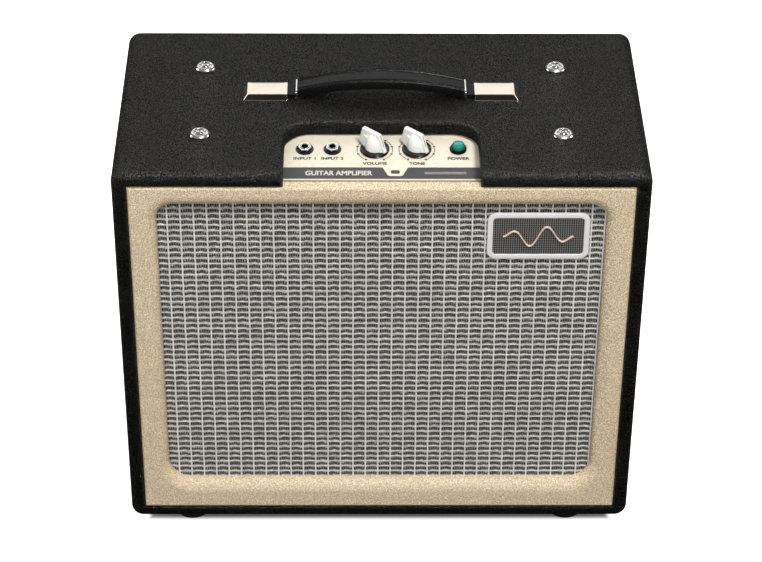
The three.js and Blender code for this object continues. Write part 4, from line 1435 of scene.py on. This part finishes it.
def make_rear_sockets():
    fuse = behind(50, APRON, REAR_Z)
    holder = [
        (0, -1), (8, -1), (8, 0.4), (9.2, 0.4), (9.2, 2.0), (8.6, 2.6), (6.6, 2.8), (6.5, 8.4),
        (5.9, 9.2), (4.6, 9.6), (0, 9.6),
    ]
    piece("fuse_holder", moved(lathe(holder, 40), fuse), BLACK_MATTE)
    outlet = behind(-92, APRON, REAR_Z)
    nut = chamfered(prism(circle(6.6, 6), 0.6, 2.8), 0.25, 1)
    parts = [
        ring([(3.2, -12), (4.6, -12), (4.6, 3.6), (4.2, 4), (3.4, 4), (3.2, 3.7)], 40),
        cut(nut, prism(circle(4.6), -1, 5)),
        ring([(4.7, 0.1), (8, 0.1), (8, 0.6), (4.7, 0.6)], 40),
    ]
    piece("speaker_outlet", moved(merge(*parts), outlet), CHROME, angle=35)


def make_inside():
    dress("chassis", ZINC)
    dress("speaker_baffle", LINING)
    for name in KNOBS:
        dress(f"pot_{name}", ZINC)
        dress(f"pot_shaft_{name}", ALUMINIUM)


# --- Studio ---

def area_light(name, place_m, aim_m, size, power):
    data = bpy.data.lights.new(name, "AREA")
    data.shape = "RECTANGLE"
    data.size, data.size_y = size
    data.energy = power
    light = linked(name, data)
    light.location = place_m
    light.rotation_euler = (Vector(aim_m) - Vector(place_m)).to_track_quat("-Z", "Y").to_euler()
    return light


def past_footprint(mat):
    """How far a point of the floor is past the cabinet's footprint, below zero under the cabinet."""
    parts = node(mat, "ShaderNodeSeparateXYZ", {0: place(mat)})
    gaps = []
    for axis, half in enumerate((HALF_W, BACK)):
        away = calc(mat, "ABSOLUTE", parts.outputs[axis])
        gaps.append(less(mat, away, half * MM))
    return calc(mat, "MAXIMUM", *gaps)


FLOOR_WHITE, FLOOR_SHADE = (0.92, 0.92, 0.92), (0.42, 0.42, 0.42)
SHADE_FROM, SHADE_TO = -0.0208, -0.0118  # metres past the footprint; below zero is under it


def make_floor():
    """A white floor, partly self-lit, with a drawn shade under the cabinet's edge."""
    mesh = bpy.data.meshes.new("floor")
    side = 14
    corners = [(-side, -side, 0), (side, -side, 0), (side, side, 0), (-side, side, 0)]
    mesh.from_pydata(corners, [], [(0, 1, 2, 3)])
    floor = linked("floor", mesh)
    paint = new_material("floor_paint", FLOOR_WHITE, 0.9, Emission_Color=(1, 1, 1, 1))
    open_floor = remap(paint, past_footprint(paint), SHADE_FROM, SHADE_TO)
    drive(paint, "Emission Strength", times(paint, open_floor, 0.9))
    drive(paint, "Base Color", mix_color(paint, open_floor, FLOOR_SHADE, FLOOR_WHITE))
    mesh.materials.append(paint)
    floor.visible_glossy = False
    floor.visible_diffuse = False


def make_world():
    """A dim sky that lightens upward, and plain white where the camera sees it."""
    world = bpy.data.worlds.new("studio")
    bpy.context.scene.world = world
    world.use_nodes = True
    tree = world.node_tree
    link = tree.links.new
    where = tree.nodes.new("ShaderNodeTexCoord")
    parts = tree.nodes.new("ShaderNodeSeparateXYZ")
    ramp = tree.nodes.new("ShaderNodeValToRGB")
    link(where.outputs["Generated"], parts.inputs[0])
    height = tree.nodes.new("ShaderNodeMapRange")
    height.inputs["From Min"].default_value = -1
    link(parts.outputs[2], height.inputs["Value"])
    link(height.outputs[0], ramp.inputs[0])
    ramp.color_ramp.elements[0].position = 0.62
    ramp.color_ramp.elements[0].color = (0.02, 0.02, 0.02, 1)
    ramp.color_ramp.elements[1].position = 0.95
    ramp.color_ramp.elements[1].color = (0.26, 0.26, 0.26, 1)
    link(ramp.outputs[0], tree.nodes["Background"].inputs[0])
    pale = tree.nodes.new("ShaderNodeBackground")
    pale.inputs[0].default_value = (1, 1, 1, 1)
    rays = tree.nodes.new("ShaderNodeLightPath")
    either = tree.nodes.new("ShaderNodeMixShader")
    link(rays.outputs["Is Camera Ray"], either.inputs[0])
    link(tree.nodes["Background"].outputs[0], either.inputs[1])
    link(pale.outputs[0], either.inputs[2])
    link(either.outputs[0], tree.nodes["World Output"].inputs[0])


def make_lights():
    area_light("backdrop", (0, 3.0, 2.9), (0, 0, 0.4), (6.0, 2.4), 50)
    area_light("key", (0.8, -1.5, 3.2), (0, 0, 0.25), (0.7, 0.5), 101)
    area_light("front_fill", (-0.8, -2.7, 1.6), (0, 0, 0.25), (1.6, 1.2), 46).visible_glossy = False
    area_light("low_fill", (0.3, -2.4, 0.25), (0, 0, 0.35), (1.6, 0.4), 6).visible_glossy = False
    area_light("rear_fill", (-1.0, 2.8, 1.0), (0, 0, 0.25), (1.8, 1.2), 55).visible_glossy = False
    for side, x in (("left", -3.2), ("right", 3.2)):
        area_light(f"{side}_fill", (x, 0.6, 1.3), (0, 0.1, 0.25), (1.2, 1.2), 26)


make_cabinet()
make_feet()
make_frame()
make_grille()
make_badge()
make_handle()
make_bolts()
make_panel()
make_print()
make_dials()
make_jacks()
make_knobs()
make_lamp()
make_back()
make_basket()
make_magnet()
make_cone()
make_surround()
make_spider()
make_speaker_trim()
make_transformer("power_transformer", -128, 62, 84, 62, 68)
make_transformer("output_transformer", 142, 66, 58, 48, 50)
make_tube(1, "preamp_tube_1", -18, 10.2, 50)
make_tube(2, "preamp_tube_2", 32, 10.2, 50)
make_tube(3, "power_tube", 82, 11, 66)
make_can()
make_inlet()
make_switch()
make_rear_sockets()
make_inside()
bpy.context.scene.view_settings.view_transform = "Standard"
make_floor()
make_world()
make_lights()

bpy.context.view_layer.update()
